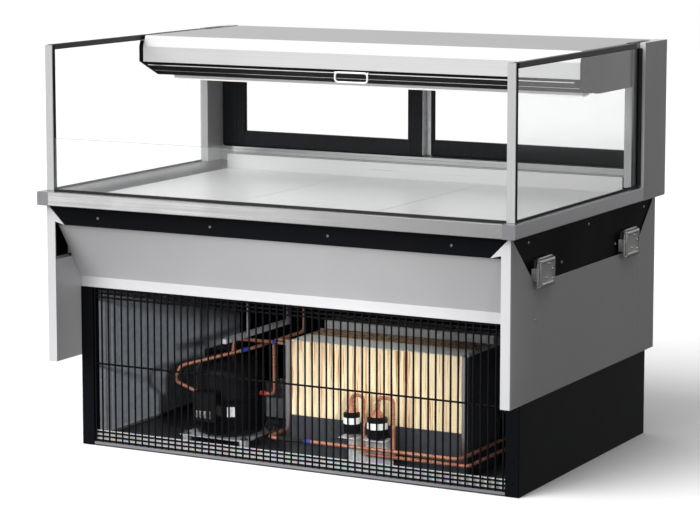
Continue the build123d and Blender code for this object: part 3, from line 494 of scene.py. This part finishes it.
def slab(bm, low, high, edge=0.0):
    """A box between two corners with rounded edges."""
    low, high = Vector(low), Vector(high)
    size = high - low
    shape = Matrix.Translation((low + high) / 2) @ Matrix.Diagonal((*(abs(s) for s in size), 1))
    made = bmesh.ops.create_cube(bm, size=1.0, matrix=shape)
    if edge:
        edges = list(dict.fromkeys(e for v in made["verts"] for e in v.link_edges))
        bmesh.ops.bevel(bm, geom=edges, offset=edge, segments=2, profile=0.5, affect="EDGES")


def rounded_outline(width, height, radius, steps=6):
    """Corner points of a rectangle with round corners, about its middle, as (across, up) pairs."""
    points = []
    for turn, (sx, sy) in enumerate(((1, 1), (-1, 1), (-1, -1), (1, -1))):
        cx, cy = sx * (width / 2 - radius), sy * (height / 2 - radius)
        for i in range(steps + 1):
            t = math.pi / 2 * (turn + i / steps)
            points.append((cx + radius * math.cos(t), cy + radius * math.sin(t)))
    return points


def pressed_plate(bm, centre, across, up, outward, width, height, radius, profile):
    """A pressed form: a rounded rectangle that shrinks as it rises. profile is (inset, rise) pairs."""
    loops = []
    for inset, rise in profile:
        outline = rounded_outline(width - 2 * inset, height - 2 * inset, max(radius - inset, 0.0004))
        loops.append([centre + across * a + up * b + outward * rise for a, b in outline])
    skin(bm, loops)


def screw(bm, face, outward):
    """A pan-head screw with a crossed recess."""
    outward = Vector(outward).normalized()
    first, second = axes_about(outward)
    radius, height, count = 0.0036, 0.002, 40
    arm, long_arm = radius * 0.15, radius * 0.58

    def cross_radius(t):
        near = abs((t + math.pi / 4) % (math.pi / 2) - math.pi / 4)
        return min(long_arm / math.cos(near), arm / max(math.sin(near), 1e-6))

    loops = [circle(face + outward * (height * h), first, second, radius * r, count)
             for r, h in ((1.0, 0.0), (1.0, 0.35), (0.93, 0.7), (0.8, 0.9), (0.66, 1.0))]
    for share, h in ((1.0, 0.98), (0.8, 0.45)):
        loops.append([face + outward * (height * h)
                      + (first * math.cos(t) + second * math.sin(t)) * cross_radius(t) * share
                      for t in (2 * math.pi * i / count for i in range(count))])
    skin(bm, loops)


def dress(look, *nodes, edge=0.0004):
    """Gives CAD nodes a material, and eases their sharp edges as folded or sawn metal has them."""
    for name in nodes:
        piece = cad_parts[name]
        piece.data.materials.clear()
        piece.data.materials.append(look.material)
        if edge:
            weld = piece.modifiers.new("weld", "WELD")
            weld.merge_threshold = 0.000002
            ease = piece.modifiers.new("edge", "BEVEL")
            ease.width = edge
            ease.segments = 2
            ease.limit_method = "ANGLE"
            ease.angle_limit = math.radians(40)
            ease.harden_normals = True


# ---------- cabinet
def dress_cabinet():
    dress(STEEL_X, "rail_front", edge=0)
    dress(STEEL_Y, "rail_frame", edge=0)
    dress(STEEL_TOP, "canopy_top_panel", edge=0.0006)
    dress(DECK, "deck_pans", "tank_liner", edge=0.0006)
    dress(DECK, "air_grilles", edge=0.0003)
    dress(GREY, "side_panels", "side_panels_rear", "front_slanted_panel", "rear_columns", edge=0.0008)
    dress(BLACK, "tank_shell", "grille_corner_posts", "base_rear_panel", "curtain_cassette",
          "canopy_end_caps")
    dress(BASE_SIDES, "base_side_panels")
    dress(SHROUD, "condenser_shroud")
    dress(BLACK_SATIN, "front_posts", "door_track_upper", "condenser_fan_motor", edge=0.0005)
    dress(LEFT_DOOR_WITH_LIT_FACE, "rear_door_left_frame", edge=0.0005)
    dress(RIGHT_DOOR, "rear_door_right_frame", edge=0.0005)
    dress(TRIM, "front_post_trims", "canopy_underside")
    dress(CHANNEL, "column_channels")
    dress(STEEL_X, "door_sill")
    dress(PAN, "base_floor_pan")
    dress(GALVANISED, "evaporator_fan_deck", "condensate_tray", "compressor_mounts")
    dress(GLASS_X, "side_glasses", edge=0)
    dress(GLASS_Y, "front_glass", "rear_door_left_glass", "rear_door_right_glass", edge=0)
    dress(RUBBER, "glass_gaskets")
    dress(BLACK_PLASTIC, "side_top_rails", "control_panel", "power_switch")
    dress(ENAMEL, "electrical_boxes", edge=0.0006)
    dress(LAMP, "lamp_lens", edge=0.0003)
    dress(ALUMINIUM, "curtain_roller")
    dress(FOAM, "tank_insulation", edge=0)


def grille():
    """Welded wire guard: upright wires on cross wires, with a nugget of weld at every crossing."""
    low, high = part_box("front_grille")
    radius, cross_radius = 0.0024, 0.0025
    uprights, end_gap = 59, 0.006
    steps = [0.003 + 0.011 * i for i in range(3)]
    middle_level = 0.2165
    levels = [low.z + step for step in steps] + [middle_level] + [high.z - step for step in steps]
    face, behind = low.y + radius, high.y - cross_radius
    pitch = (high.x - low.x - 2 * end_gap) / (uprights - 1)
    weld = [(radius * 0.7, 0), (radius * 0.95, radius * 0.4), (radius * 0.7, radius * 0.8)]
    bm = bmesh.new()
    for i in range(uprights):
        x = low.x + end_gap + i * pitch
        bar(bm, (x, face, low.z), (x, face, high.z), radius, 12)
        for z in levels:
            lathe(bm, (x, face + radius * 0.6, z), (0, 1, 0), weld, 8)
    for z in levels:
        bar(bm, (low.x, behind, z), (high.x, behind, z), cross_radius, 12)
    finish_piece(bm, "grille_wires", WIRE_COAT, replaced=["front_grille"])


def screws():
    """Cross-head screws of the collar, the side panels and the grille's posts."""
    collar_front, collar_side = 0.020, 0.645
    front_row, collar_row, pocket_row, skirt_row = 0.616, 0.619, 0.546, 0.429
    post_x, post_front = 0.6055, 0.129
    bm, dark = bmesh.new(), bmesh.new()
    for x in (-0.495, -0.165, 0.165, 0.495):
        screw(bm, at(x, collar_front, front_row), (0, -1, 0))
    for s in SIDES:
        for z, depths in ((collar_row, (0.125, 0.490, 0.860)), (pocket_row, (0.323, 0.666))):
            for depth in depths:
                screw(bm, at(s * collar_side, depth, z), (s, 0, 0))
        for depth in (0.162, 0.536):
            screw(bm, at(s * SKIN_X, depth, skirt_row), (s, 0, 0))
        for z in (0.035, 0.090, 0.216, 0.400):
            screw(dark, at(s * post_x, post_front, z), (0, -1, 0))
    finish_piece(bm, "screw_heads", ZINC, replaced=["cabinet_screws"])
    finish_piece(dark, "post_screw_heads", WIRE_COAT)


# ---------- latches
SKIN_X = 0.649                         # the side panels' outer face
LATCH_DEPTHS = (("front", 0.156), ("rear", 0.700))
LATCH_LENGTH, LATCH_LOW, LATCH_TOP = 0.089, 0.505, 0.575


def latches():
    """Pressed latch covers with rivets, and a lever on each that hooks over the collar."""
    pressing = [(0, -0.0035), (0, 0.0095), (0.0008, 0.0125), (0.0028, 0.0146), (0.005, 0.015),
                (0.0085, 0.015), (0.0095, 0.0142), (0.012, 0.0140)]
    rivet = [(0.0030, 0), (0.0030, 0.0006), (0.0024, 0.0019), (0.0012, 0.0026)]
    rivet_spots = ((0.052, 0.560), (0.072, 0.545), (0.036, 0.528), (0.074, 0.522))
    rivet_face, corner, lip, lip_rise, ease = 0.0138, 0.005, 0.004, 0.007, 0.001
    pin_out, pin_ahead, pin_radius, pin_foot, pin_head = 0.010, 0.006, 0.002, 0.506, 0.5745
    covers, rivets = bmesh.new(), bmesh.new()
    middle_z, height = (LATCH_LOW + LATCH_TOP) / 2, LATCH_TOP - LATCH_LOW
    for side, s in SIDE_NAMES:
        out = Vector((s, 0, 0))
        for where, start in LATCH_DEPTHS:
            centre = at(s * SKIN_X, start + LATCH_LENGTH / 2, middle_z)
            pressed_plate(covers, centre, Vector((0, s, 0)), Vector((0, 0, 1)), out,
                          LATCH_LENGTH, height, corner, pressing)
            top = at(s * (SKIN_X + lip), start + lip, LATCH_TOP - lip)
            slab(covers, top - Vector((lip, 0, 0)),
                 top + Vector((lip, LATCH_LENGTH - 2 * lip, lip_rise)), ease)
            for along, z in rivet_spots:
                lathe(rivets, at(s * (SKIN_X + rivet_face), start + along, z), out, rivet, 24)
            for z in (0.507, 0.568):
                slab(covers, at(s * (SKIN_X + lip), start - 0.010, z),
                     at(s * (SKIN_X + 0.015), start + 0.001, z + 0.005), ease)
            pivot = at(s * (SKIN_X + pin_out), start - pin_ahead, 0)
            bar(rivets, pivot + Vector((0, 0, pin_foot)), pivot + Vector((0, 0, pin_head)), pin_radius, 16)
            lever(side, s, where, pivot)
    finish_piece(covers, "latch_covers", ZINC, replaced=["latch_housings"])
    finish_piece(rivets, "latch_rivets", BRIGHT)


def lever(side, s, where, pivot):
    """Over-centre lever: a barrel on the pin, a claw that reaches the collar and two raised finger bars."""
    body = f"latch_{side}_{where}"
    rim, barrel_r, groove, ease = 0.0042, 0.005, 0.0044, 0.0008
    barrel = [(rim, 0.513), (barrel_r, 0.5138)]
    for knuckle in (0.526, 0.554):
        barrel += [(barrel_r, knuckle - ease), (groove, knuckle), (barrel_r, knuckle + ease)]
    bm = bmesh.new()
    lathe(bm, pivot, (0, 0, 1), barrel + [(barrel_r, 0.5662), (rim, 0.567)], 28)
    claw_low, claw_top = 0.524, 0.556
    claw = [(-0.0008, -0.0042), (-0.0056, -0.0056), (-0.0092, -0.0064), (-0.0095, -0.0115),
            (-0.0086, -0.0155)]
    for (o0, a0), (o1, a1) in zip(claw, claw[1:]):
        low = Vector((s * min(o0, o1) - ease, min(a0, a1) - ease, claw_low))
        high = Vector((s * max(o0, o1) + ease, max(a0, a1) + ease, claw_top))
        slab(bm, pivot + low, pivot + high, 0.0005)
    finish_piece(bm, f"latch_claw_{side}_{where}", ZINC, body, [f"latch_lever_{side}_{where}"])
    bm = bmesh.new()
    reach, grip_radius = (0.0034, 0.0039, 0.0040, 0.0038, 0.0034), 0.0015
    for angle, top, bottom in ((42, 0.557, 0.516), (-20, 0.552, 0.519)):
        a = math.radians(angle)
        line = []
        for i, r in enumerate(reach):
            z = top + (bottom - top) * i / (len(reach) - 1)
            line.append(pivot + Vector((s * r * math.cos(a), -r * math.sin(a), z)))
        pipe(bm, smooth(line, 5), grip_radius, 12)
    middle, half_thick = s * 0.0030, 0.0010
    slab(bm, pivot + Vector((middle - half_thick, -0.0036, 0.559)),
         pivot + Vector((middle + half_thick, 0.0034, 0.5655)), 0.0006)
    finish_piece(bm, f"latch_grip_{side}_{where}", BRIGHT, body)


# ---------- condensing unit
COMPRESSOR = at(-0.310, 0.355, 0)
COIL_ROWS = [0.126 + 0.031 * row for row in range(6)]
COIL_COLUMNS = [FRONT + depth for depth in (0.295, 0.350, 0.405)]
TUBE_R = 0.0048


def compressor():
    """Welded steel pot: a deep lower shell, a seam band and a domed cap, with its stubs and studs."""
    bm = bmesh.new()
    belly = [(0.060, 0.022), (0.076, 0.0232), (0.088, 0.029), (0.0945, 0.040), (0.096, 0.052),
             (0.096, 0.1165), (0.0975, 0.1175), (0.098, 0.119), (0.098, 0.1248), (0.0972, 0.1258),
             (0.0945, 0.1262), (0.094, 0.128), (0.094, 0.178)]
    dome_r, dome_foot, dome_rise = 0.094, 0.178, 0.052
    dome = [(dome_r * math.cos(t), dome_foot + dome_rise * math.sin(t))
            for t in (math.radians(a) for a in range(8, 84, 8))]
    lathe(bm, COMPRESSOR, (0, 0, 1), belly + dome + [(0.006, 0.2335)], 72)
    stub_reach, stub_foot, stub_length, stub_r = 0.062, 0.214, 0.014, 0.003
    for a in (math.radians(angle) for angle in (20, 140, 250)):
        spot = COMPRESSOR + Vector((stub_reach * math.cos(a), stub_reach * math.sin(a), stub_foot))
        bar(bm, spot, spot + Vector((0, 0, stub_length)), stub_r, 12)
    finish_piece(bm, "compressor_shell", ENAMEL, replaced=["compressor"])

    bm = bmesh.new()
    nut = [(0.0065, 0.021), (0.0065, 0.0235), (0.0105, 0.0236), (0.0105, 0.0250),
           (0.0058, 0.0252), (0.0058, 0.0300), (0.0050, 0.0308)]
    for sx in SIDES:
        for sy in SIDES:
            lathe(bm, COMPRESSOR + Vector((sx * 0.088, sy * 0.078, 0)), (0, 0, 1), nut, 24)
    finish_piece(bm, "compressor_bolts", ZINC)

    bm = bmesh.new()
    for x in (-0.336, -0.323, -0.310, -0.297):
        slab(bm, at(x, 0.2196, 0.080), at(x + 0.008, 0.2212, 0.101), 0.0004)
        slab(bm, at(x + 0.002, 0.2180, 0.088), at(x + 0.006, 0.2198, 0.097), 0.0004)
    finish_piece(bm, "compressor_terminals", BRIGHT)

    bm = bmesh.new()
    under, over, foot, head = 0.0959, 0.0966, 0.080, 0.106
    patch = []
    for a in (math.radians(26 + 3 * i) for i in range(5)):
        patch.append([COMPRESSOR + Vector((r * math.sin(a), -r * math.cos(a), z))
                      for r, z in ((under, foot), (over, foot), (over, head), (under, head))])
    skin(bm, patch)
    finish_piece(bm, "compressor_label", LABEL)


def fin_block(bm, low, high, pitch, thick, proud, wave=0.0):
    """A pack of upright fins that stand proud of a core; wave is how far their front edges are bent about."""
    slab(bm, low + Vector((0, proud, 0.0005)), high - Vector((0, proud, 0.0005)))
    count = int((high.x - low.x) / pitch)
    levels = 9 if wave else 1
    for i in range(count):
        x = low.x + (i + 0.5) * (high.x - low.x) / count
        rows = []
        for k in range(levels + 1):
            z = low.z + (high.z - low.z) * k / levels
            bend = wave * (math.sin(0.9 * k + 0.31 * i) + 0.6 * math.sin(2.3 * k - 0.17 * i))
            front = low.y + wave * 0.8 * (1 + math.sin(1.7 * i + 0.8 * k))
            rows.append([Vector((x + bend - thick / 2, front, z)), Vector((x + bend + thick / 2, front, z)),
                         Vector((x + thick / 2, high.y, z)), Vector((x - thick / 2, high.y, z))])
        skin(bm, rows)


def end_plate(bm, x, inward, depths, heights, flange):
    """A folded end plate: a web square to X with a narrow flange at the front and back."""
    thick = 0.0015
    lo, hi = sorted((x, x + inward * thick))
    slab(bm, (lo, depths[0], heights[0]), (hi, depths[1], heights[1]), 0.0003)
    if flange:
        lo, hi = sorted((x, x - inward * flange))
        slab(bm, (lo, depths[0] - thick, heights[0]), (hi, depths[0], heights[1]), 0.0003)
        slab(bm, (lo, depths[1] - thick, heights[0]), (hi, depths[1], heights[1]), 0.0003)


def condenser():
    low, high = COIL_LOW, COIL_HIGH
    end_gap, foot = Vector((0.002, 0, 0)), 0.002
    bm = bmesh.new()
    fin_block(bm, low + end_gap, high - end_gap, pitch=0.0034, thick=0.0011, proud=0.003, wave=0.0006)
    finish_piece(bm, "condenser_fins", FINS, replaced=["condenser_coil"])
    bm = bmesh.new()
    end_plate(bm, low.x, 1, (low.y - 0.0005, high.y), (foot, high.z), 0.010)
    end_plate(bm, high.x, -1, (low.y - 0.0005, high.y), (foot, high.z), 0.012)
    finish_piece(bm, "condenser_ends", ALUMINIUM)
    bm = bmesh.new()
    return_bends(bm, low.x, -1, COIL_COLUMNS, COIL_ROWS, 0)
    return_bends(bm, high.x, 1, COIL_COLUMNS, COIL_ROWS, 1)
    finish_piece(bm, "condenser_return_bends", COPPER)


def return_bends(bm, x, outward, depths, heights, first):
    """U-bends that join one coil row to the next, past an end plate; rows left over get a short stub."""
    stub, lead, reach, radius = 0.0118, 0.003, 0.0085, 0.004
    for depth in depths:
        rows = list(heights)
        for z in rows[:first] + (rows[-1:] if (len(rows) - first) % 2 else []):
            bar(bm, (x, depth, z), (x + outward * stub, depth, z), TUBE_R, 14)
        for a, b in zip(rows[first::2], rows[first + 1::2]):
            r = (b - a) / 2
            arc = [Vector((x + outward * (lead + reach * math.sin(t)), depth, (a + b) / 2 - r * math.cos(t)))
                   for t in (math.pi * i / 10 for i in range(11))]
            pipe(bm, [Vector((x, depth, a))] + arc + [Vector((x, depth, b))], radius, 12)


def refrigerant_lines():
    """Soft copper lines with brazed sockets, and bands of tape where they pass each other."""
    suction = [at(-0.3585, 0.274, 0.136), at(-0.416, 0.250, 0.167), at(-0.384, 0.232, 0.212),
               at(-0.239, 0.350, 0.251), at(-0.150, 0.470, 0.284), at(-0.150, 0.470, 0.4315)]
    discharge = [at(-0.218, 0.355, 0.134), at(-0.173, 0.352, 0.134), at(-0.173, 0.350, 0.281),
                 at(-0.0865, 0.350, 0.281)]
    liquid = [at(-0.100, 0.330, 0.062), at(-0.100, 0.186, 0.062), at(0.440, 0.186, 0.062),
              at(0.440, 0.640, 0.062), at(0.440, 0.640, 0.380)]
    drier_out = [at(0.135, 0.200, 0.170), at(0.135, 0.200, 0.192), at(0.168, 0.200, 0.192),
                 at(0.168, 0.200, 0.044), at(0.458, 0.200, 0.044), at(0.458, 0.640, 0.044),
                 at(0.458, 0.640, 0.380)]
    branch = [at(0.207, 0.200, 0.166), at(0.207, 0.200, 0.192), at(0.252, 0.200, 0.192),
              at(0.252, 0.200, 0.049)]
    process = [at(-0.300, 0.352, 0.226), at(-0.292, 0.352, 0.271), at(-0.136, 0.300, 0.284),
               at(-0.0865, 0.295, 0.281)]
    routes = ((suction, 0.016), (discharge, 0.014), (liquid, 0.020), (drier_out, 0.014), (branch, 0.014),
              (process, 0.016))
    socket = [(0.0052, 0), (0.0062, 0.0006), (0.0062, 0.009), (0.0050, 0.0105)]
    bm, bands, sleeve, cap = (bmesh.new() for _ in range(4))
    for route, bend in routes:
        line = bent(route, bend)
        pipe(bm, line, TUBE_R)
        for end, inner in ((line[0], line[1]), (line[-1], line[-2])):
            lathe(bm, end, inner - end, socket, 18)
    tapes = ((suction, 3, suction[3] - suction[2], -0.030, -0.006),
             (process, 2, process[2] - process[1], -0.012, 0.006),
             (liquid, 1, liquid[2] - liquid[1], 0.104, 0.126))
    for route, corner, run, start, end in tapes:
        along = run.normalized()
        bar(bands, route[corner] + along * start, route[corner] + along * end, 0.0058, 18, 0.0004)
    pipe(sleeve, [liquid[1].lerp(liquid[2], t) for t in (0.055, 0.12, 0.2)], 0.0062, 16)
    bar(cap, discharge[0].lerp(discharge[1], 0.10), discharge[0].lerp(discharge[1], 0.42), 0.0070, 18, 0.0008)
    finish_piece(sleeve, "line_sleeve", RUBBER)
    finish_piece(cap, "line_collar", RED_CAP)
    finish_piece(bm, "copper_lines", COPPER, replaced=["refrigerant_lines"])
    finish_piece(bands, "tape_bands", BLUE_TAPE)


def filter_driers():
    """Black drier shells with spun copper ends and a plain label band round each."""
    axis, up = 0.200, (0, 0, 1)
    shells, ends, labels = bmesh.new(), bmesh.new(), bmesh.new()
    for x, r, low, high in ((0.135, 0.021, 0.094, 0.163), (0.207, 0.026, 0.088, 0.158)):
        base = at(x, axis, 0)
        can = [(r * 0.82, low), (r * 0.96, low + 0.0015), (r, low + 0.005), (r, high - 0.020),
               (r * 0.97, high - 0.0175), (r * 0.78, high - 0.014)]
        cone = [(r * 0.78, high - 0.0142), (r * 0.70, high - 0.010), (r * 0.42, high - 0.003),
                (0.0062, high + 0.003), (0.0062, high + 0.010), (0.0050, high + 0.0105)]
        band = [(r, low + 0.0255), (r + 0.0003, low + 0.0257), (r + 0.0003, low + 0.0415), (r, low + 0.0417)]
        lathe(shells, base, up, can, 48)
        lathe(ends, base, up, cone, 40)
        lathe(labels, base, up, band, 48)
    finish_piece(shells, "drier_shells", ENAMEL, replaced=["filter_driers"])
    finish_piece(ends, "drier_ends", COPPER)
    finish_piece(labels, "drier_labels", LABEL)


# ---------- fans and evaporator
def rotor(name, node_name, body, shaft, hub, blades, sweep_deg):
    """Axial rotor: a domed hub with cambered, swept blades. shaft is the X and Z of its axis, along Y."""
    low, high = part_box(node_name)
    centre = Vector((shaft[0], (low.y + high.y) / 2, shaft[1]))
    tip = max(high.z - centre.z, high.x - centre.x, centre.x - low.x, centre.z - low.z) - 0.0005
    half = (high.y - low.y) / 2
    bore, root = 0.0045, hub * 0.97
    bm = bmesh.new()
    lathe(bm, centre - Vector((0, half, 0)), (0, 1, 0),
          [(bore, 0), (hub * 0.7, 0), (hub * 0.94, half * 0.12), (hub, half * 0.3), (hub, half * 1.95),
           (hub * 0.98, half * 2), (bore, half * 2)], 48)
    stations, chords = 7, 9
    for b in range(blades):
        turn = 2 * math.pi * b / blades
        loops = []
        for i in range(stations):
            u = i / (stations - 1)
            r = root + (tip - root) * u
            width = math.radians(52 + 8 * math.sin(math.pi * u))
            pitch = half * (0.86 - 0.30 * u)
            upper, lower = [], []
            for j in range(chords + 1):
                v = j / chords
                angle = turn + math.radians(sweep_deg) * u * u + width * (v - 0.5)
                lift = pitch * (1 - 2 * v) + half * 0.16 * math.sin(math.pi * v)
                thick = 0.0009 * (0.35 + math.sin(math.pi * v) ** 0.5)
                for side, rail in ((1, upper), (-1, lower)):
                    spot = Vector((r * math.cos(angle), lift + side * thick, r * math.sin(angle)))
                    rail.append(centre + spot)
            loops.append(upper + lower[::-1])
        skin(bm, loops)
    finish_piece(bm, name, BLACK_PLASTIC, body, [node_name])


def rotors():
    rotor("condenser_rotor", "condenser_fan_blade", "condenser_fan", (0.167, 0.215), 0.026, 5, 18)
    for side, s in SIDE_NAMES:
        rotor(f"evaporator_rotor_{side}", f"evaporator_fan_rotor_{side}", f"evaporator_fan_{side}",
              (s * 0.260, 0.550), 0.017, 5, 14)


def evaporator():
    low, high = at(-0.470, 0.600, 0.480), at(0.470, 0.760, 0.600)
    plate_x, overhang = 0.472, 0.006
    bm = bmesh.new()
    fin_block(bm, low, high, pitch=0.0042, thick=0.0012, proud=0.004)
    for s in SIDES:
        end_plate(bm, s * plate_x, -s, (low.y - overhang, high.y + overhang), (0.462, 0.606), 0)
    finish_piece(bm, "evaporator_fins", ALUMINIUM, replaced=["evaporator_coil"])
    bm = bmesh.new()
    columns = [FRONT + depth for depth in (0.620, 0.660, 0.700, 0.740)]
    rows = [0.495 + 0.030 * i for i in range(4)]
    for s, first in ((-1, 0), (1, 1)):
        return_bends(bm, s * plate_x, s, columns, rows, first)
    finish_piece(bm, "evaporator_return_bends", COPPER)


# ---------- night curtain
CHAMFER_TOP, CHAMFER_LOW = (0.454, 0.979), (0.546, 0.938)


def chamfer_point(x, along, out):
    """A point on the canopy's chamfer: along it from its front edge, and out from its face."""
    run, fall = CHAMFER_LOW[0] - CHAMFER_TOP[0], CHAMFER_LOW[1] - CHAMFER_TOP[1]
    length = math.hypot(run, fall)
    u = (run / length, fall / length)
    return at(x, CHAMFER_TOP[0] + u[0] * along + u[1] * out, CHAMFER_TOP[1] + u[1] * along - u[0] * out)


def curtain():
    """Woven curtain wound on its roller, with a leader through the slot to the pull bar."""
    axis = at(0, 0.502, 0.994)
    half, thick = 0.606, 0.0004
    core, outer, turns, steps, columns = 0.0114, 0.0166, 5.0, 160, 24
    slot_mid = chamfer_point(0, 0.0265, 0)
    bar_edge = chamfer_point(0, 0.0240, 0.0012)
    leave = math.atan2(slot_mid.z - axis.z, slot_mid.y - axis.y)
    tangent = leave + math.acos(outer / (slot_mid - axis).length)
    spiral = []
    for i in range(steps + 1):
        u = i / steps
        a = tangent - 2 * math.pi * turns * (1 - u)
        r = core + (outer - core) * u
        spiral.append(axis + Vector((0, r * math.cos(a), r * math.sin(a))))
    leader = [spiral[-1].lerp(slot_mid, t) for t in (0.25, 0.5, 0.75, 1.0)]
    line = spiral + leader + [slot_mid.lerp(bar_edge, 0.5), bar_edge]
    loops = []
    for c in range(columns + 1):
        x = -half + 2 * half * c / columns
        upper, lower = [], []
        for i, point in enumerate(line):
            ahead, behind = line[min(i + 1, len(line) - 1)], line[max(i - 1, 0)]
            t = (ahead - behind).normalized()
            normal = Vector((0, -t.z, t.y))
            for side, rail in ((1, upper), (-1, lower)):
                rail.append(point + normal * (side * thick / 2) + Vector((x, 0, 0)))
        loops.append(upper + lower[::-1])
    bm = bmesh.new()
    skin(bm, loops)
    cloth = piece_from(bm, "curtain_cloth", CLOTH, 50.0)
    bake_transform(cloth)
    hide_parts("night_curtain")


def pull_bar():
    """Black pull bar with a thin bright strip along each lower edge, a painted highlight of that edge."""
    low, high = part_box("curtain_pull_bar")
    start, end, strip_width, gap, thick = 0.003, 0.042, 0.0020, 0.0006, 0.007
    body, highlight_strips = bmesh.new(), bmesh.new()

    def section(bm, a, b, base, top, inset):
        corners = [(a, base), (a, top - inset), (a + inset, top),
                   (b - inset, top), (b, top - inset), (b, base)]
        skin(bm, [[chamfer_point(x, along, out) for along, out in corners] for x in (low.x, high.x)])

    section(body, start, end, gap, gap + thick, 0.0008)
    # The bright strips along the two lower edges are painted highlights of those edges.
    section(highlight_strips, start - 0.0003, start + strip_width, gap + thick - 0.0012, gap + thick + 0.0008, 0.0004)
    section(highlight_strips, end - strip_width, end + 0.0002, gap + thick - 0.001, gap + thick + 0.0020, 0.0004)
    finish_piece(body, "pull_bar_body", BLACK, "curtain_bar", ["curtain_pull_bar"])
    finish_piece(highlight_strips, "pull_bar_highlight_strips", BRIGHT, "curtain_bar")


def curtain_handle():
    """White loop handle with two lugs that clip on the pull bar's front edge."""
    low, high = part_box("curtain_handle")
    rod = 0.0025
    depth = low.y + rod
    middle = Vector((0, depth, (low.z + high.z) / 2))
    outline = rounded_outline(high.x - low.x - 2 * rod, high.z - low.z - 2 * rod, 0.009, 8)
    bm = bmesh.new()
    pipe(bm, [middle + Vector((a, 0, b)) for a, b in outline], rod, 16, closed=True)
    reach = (high.x - low.x) / 2 - rod
    for x in (-reach, reach):
        near = chamfer_point(x, 0.0045, 0.0055)
        slab(bm, (x - 0.0024, depth - 0.0005, near.z - 0.0030), (x + 0.0024, near.y, near.z + 0.0020), 0.0008)
    finish_piece(bm, "pull_handle", WHITE_PLASTIC, "curtain_bar", ["curtain_handle"])


# ---------- studio
def heading(azimuth, elevation=0.0):
    """A direction in degrees. Azimuth 0 is straight in front of the cabinet, and grows to the right."""
    a, e = math.radians(azimuth), math.radians(elevation)
    return Vector((math.sin(a) * math.cos(e), -math.cos(a) * math.cos(e), math.sin(e)))


def aim(piece, target):
    piece.rotation_euler = (Vector(target) - piece.location).to_track_quat("-Z", "Y").to_euler()


def lamp(name, kind, energy, azimuth, elevation, aim_at=(0, 0, 0.6), **settings):
    """A lamp that neither the camera nor a reflection sees, only the light it gives."""
    distance = 5.0
    data = bpy.data.lights.new(name, kind)
    data.energy = energy
    for key, value in settings.items():
        setattr(data, key, value)
    made = placed(name, data)
    made.location = Vector(aim_at) + heading(azimuth, elevation) * distance
    aim(made, aim_at)
    made.visible_camera = False
    made.visible_glossy = False


def studio():
    """Pale floor, the room, four broad suns from the front and a spot on the compressor's corner."""
    reach = 14.0
    mesh = bpy.data.meshes.new("floor")
    mesh.from_pydata([(x * reach, y * reach, 0) for x, y in ((-1, -1), (1, -1), (1, 1), (-1, 1))], [],
                     [(0, 1, 2, 3)])
    floor = placed("floor", mesh)
    pale = Look("floor_pale", (0.92, 0.92, 0.92), 0.0, 0.9)
    pale.colour(pale.tone(pale.noise(0.6), 0.985, 1.01))
    mesh.materials.append(pale.material)
    floor.location.z = CAD_BOX[0].z - 0.0005
    floor.visible_diffuse = False
    floor.visible_glossy = False

    surroundings()
    lamp("key", "SUN", 3.6, -30, 38, angle=math.radians(50))
    lamp("overhead", "SUN", 0.9, 0, 80, angle=math.radians(60))
    lamp("fill", "SUN", 0.34, 38, 20, angle=math.radians(60))
    lamp("low", "SUN", 0.9, -18, 9, angle=math.radians(40))
    lamp("compartment", "SPOT", 560, 44, 13, (-0.42, 0.0, 0.14), spot_size=math.radians(14), spot_blend=0.8,
         shadow_soft_size=0.12)
    bpy.context.scene.view_settings.view_transform = "Standard"


def surroundings():
    """A white room: even white where the camera looks, soft walls and panels where light and gloss look."""
    world = bpy.data.worlds.new("studio")
    bpy.context.scene.world = world
    world.use_nodes = True
    graph = Graph(world.node_tree)
    direction = graph.make("TexCoord", "Generated")

    def toward(way, low, high, dark, light):
        """dark..light as the cosine between the direction and a way goes from low to high."""
        cosine = graph.make("VectorMath", "Value", {0: direction, 1: Vector(way).normalized()},
                            operation="DOT_PRODUCT")
        return graph.span(cosine, dark, light, low, high, interpolation_type="SMOOTHSTEP")

    def total(level, *others):
        for other in others:
            level = graph.maths("ADD", level, other)
        return level

    def background(level):
        return graph.make("Background", 0, {"Color": level})

    def choose(ray, others, chosen):
        """chosen for one kind of ray, and others for the rest."""
        return graph.make("MixShader", 0, {0: graph.make("LightPath", ray), 1: others, 2: chosen})

    white_wall = (-0.80, -0.45, 0.25)
    up = (0, 0, 1)
    panel = total(toward(heading(-33, -7), 0.9965, 0.9997, 0.0, 1.5),
                  toward(heading(-32), 0.965, 0.998, 0.0, 0.18))
    raised = toward(heading(-22, 38), 0.90, 0.985, 0.0, 0.45)
    walls = toward(white_wall, -0.75, 0.7, 0.06, 0.34)
    behind = toward(heading(-152, 8), 0.86, 0.97, 0.0, 0.50)
    front_right = toward(heading(45, 15), 0.85, 0.97, 0.0, 0.45)
    overhead = toward(up, 0.25, 0.9, 0.0, 0.45)
    above_floor = toward(up, -0.112, -0.095, 0.0, 1.0)
    veil = graph.maths("MULTIPLY", toward(heading(152), 0.93, 0.97, 0.0, 0.75), above_floor)
    lit = background(toward(white_wall, -0.7, 0.7, 0.02, 0.42))
    mirrored = background(total(panel, raised, walls, behind, front_right, overhead, veil))
    seen = background((1.0, 1.0, 1.0, 1.0))
    whole = choose("Is Camera Ray", choose("Is Glossy Ray", lit, mirrored), seen)
    graph.feed(graph.nodes["World Output"].inputs["Surface"], whole)


def camera():
    """The photo's viewpoint, solved from the cabinet's own edges."""
    data = bpy.data.cameras.new("camera")
    data.sensor_width = 36.0
    data.lens = 131.18
    data.shift_x, data.shift_y = 0.0027, -0.0865
    eye = placed("camera", data)
    eye.location = (3.062, -5.792, 1.493)
    aim(eye, (0, -0.043, 0.651))
    bpy.context.scene.camera = eye


dress_cabinet()
grille()
screws()
latches()
compressor()
condenser()
refrigerant_lines()
filter_driers()
rotors()
evaporator()
curtain()
pull_bar()
curtain_handle()
studio()
camera()
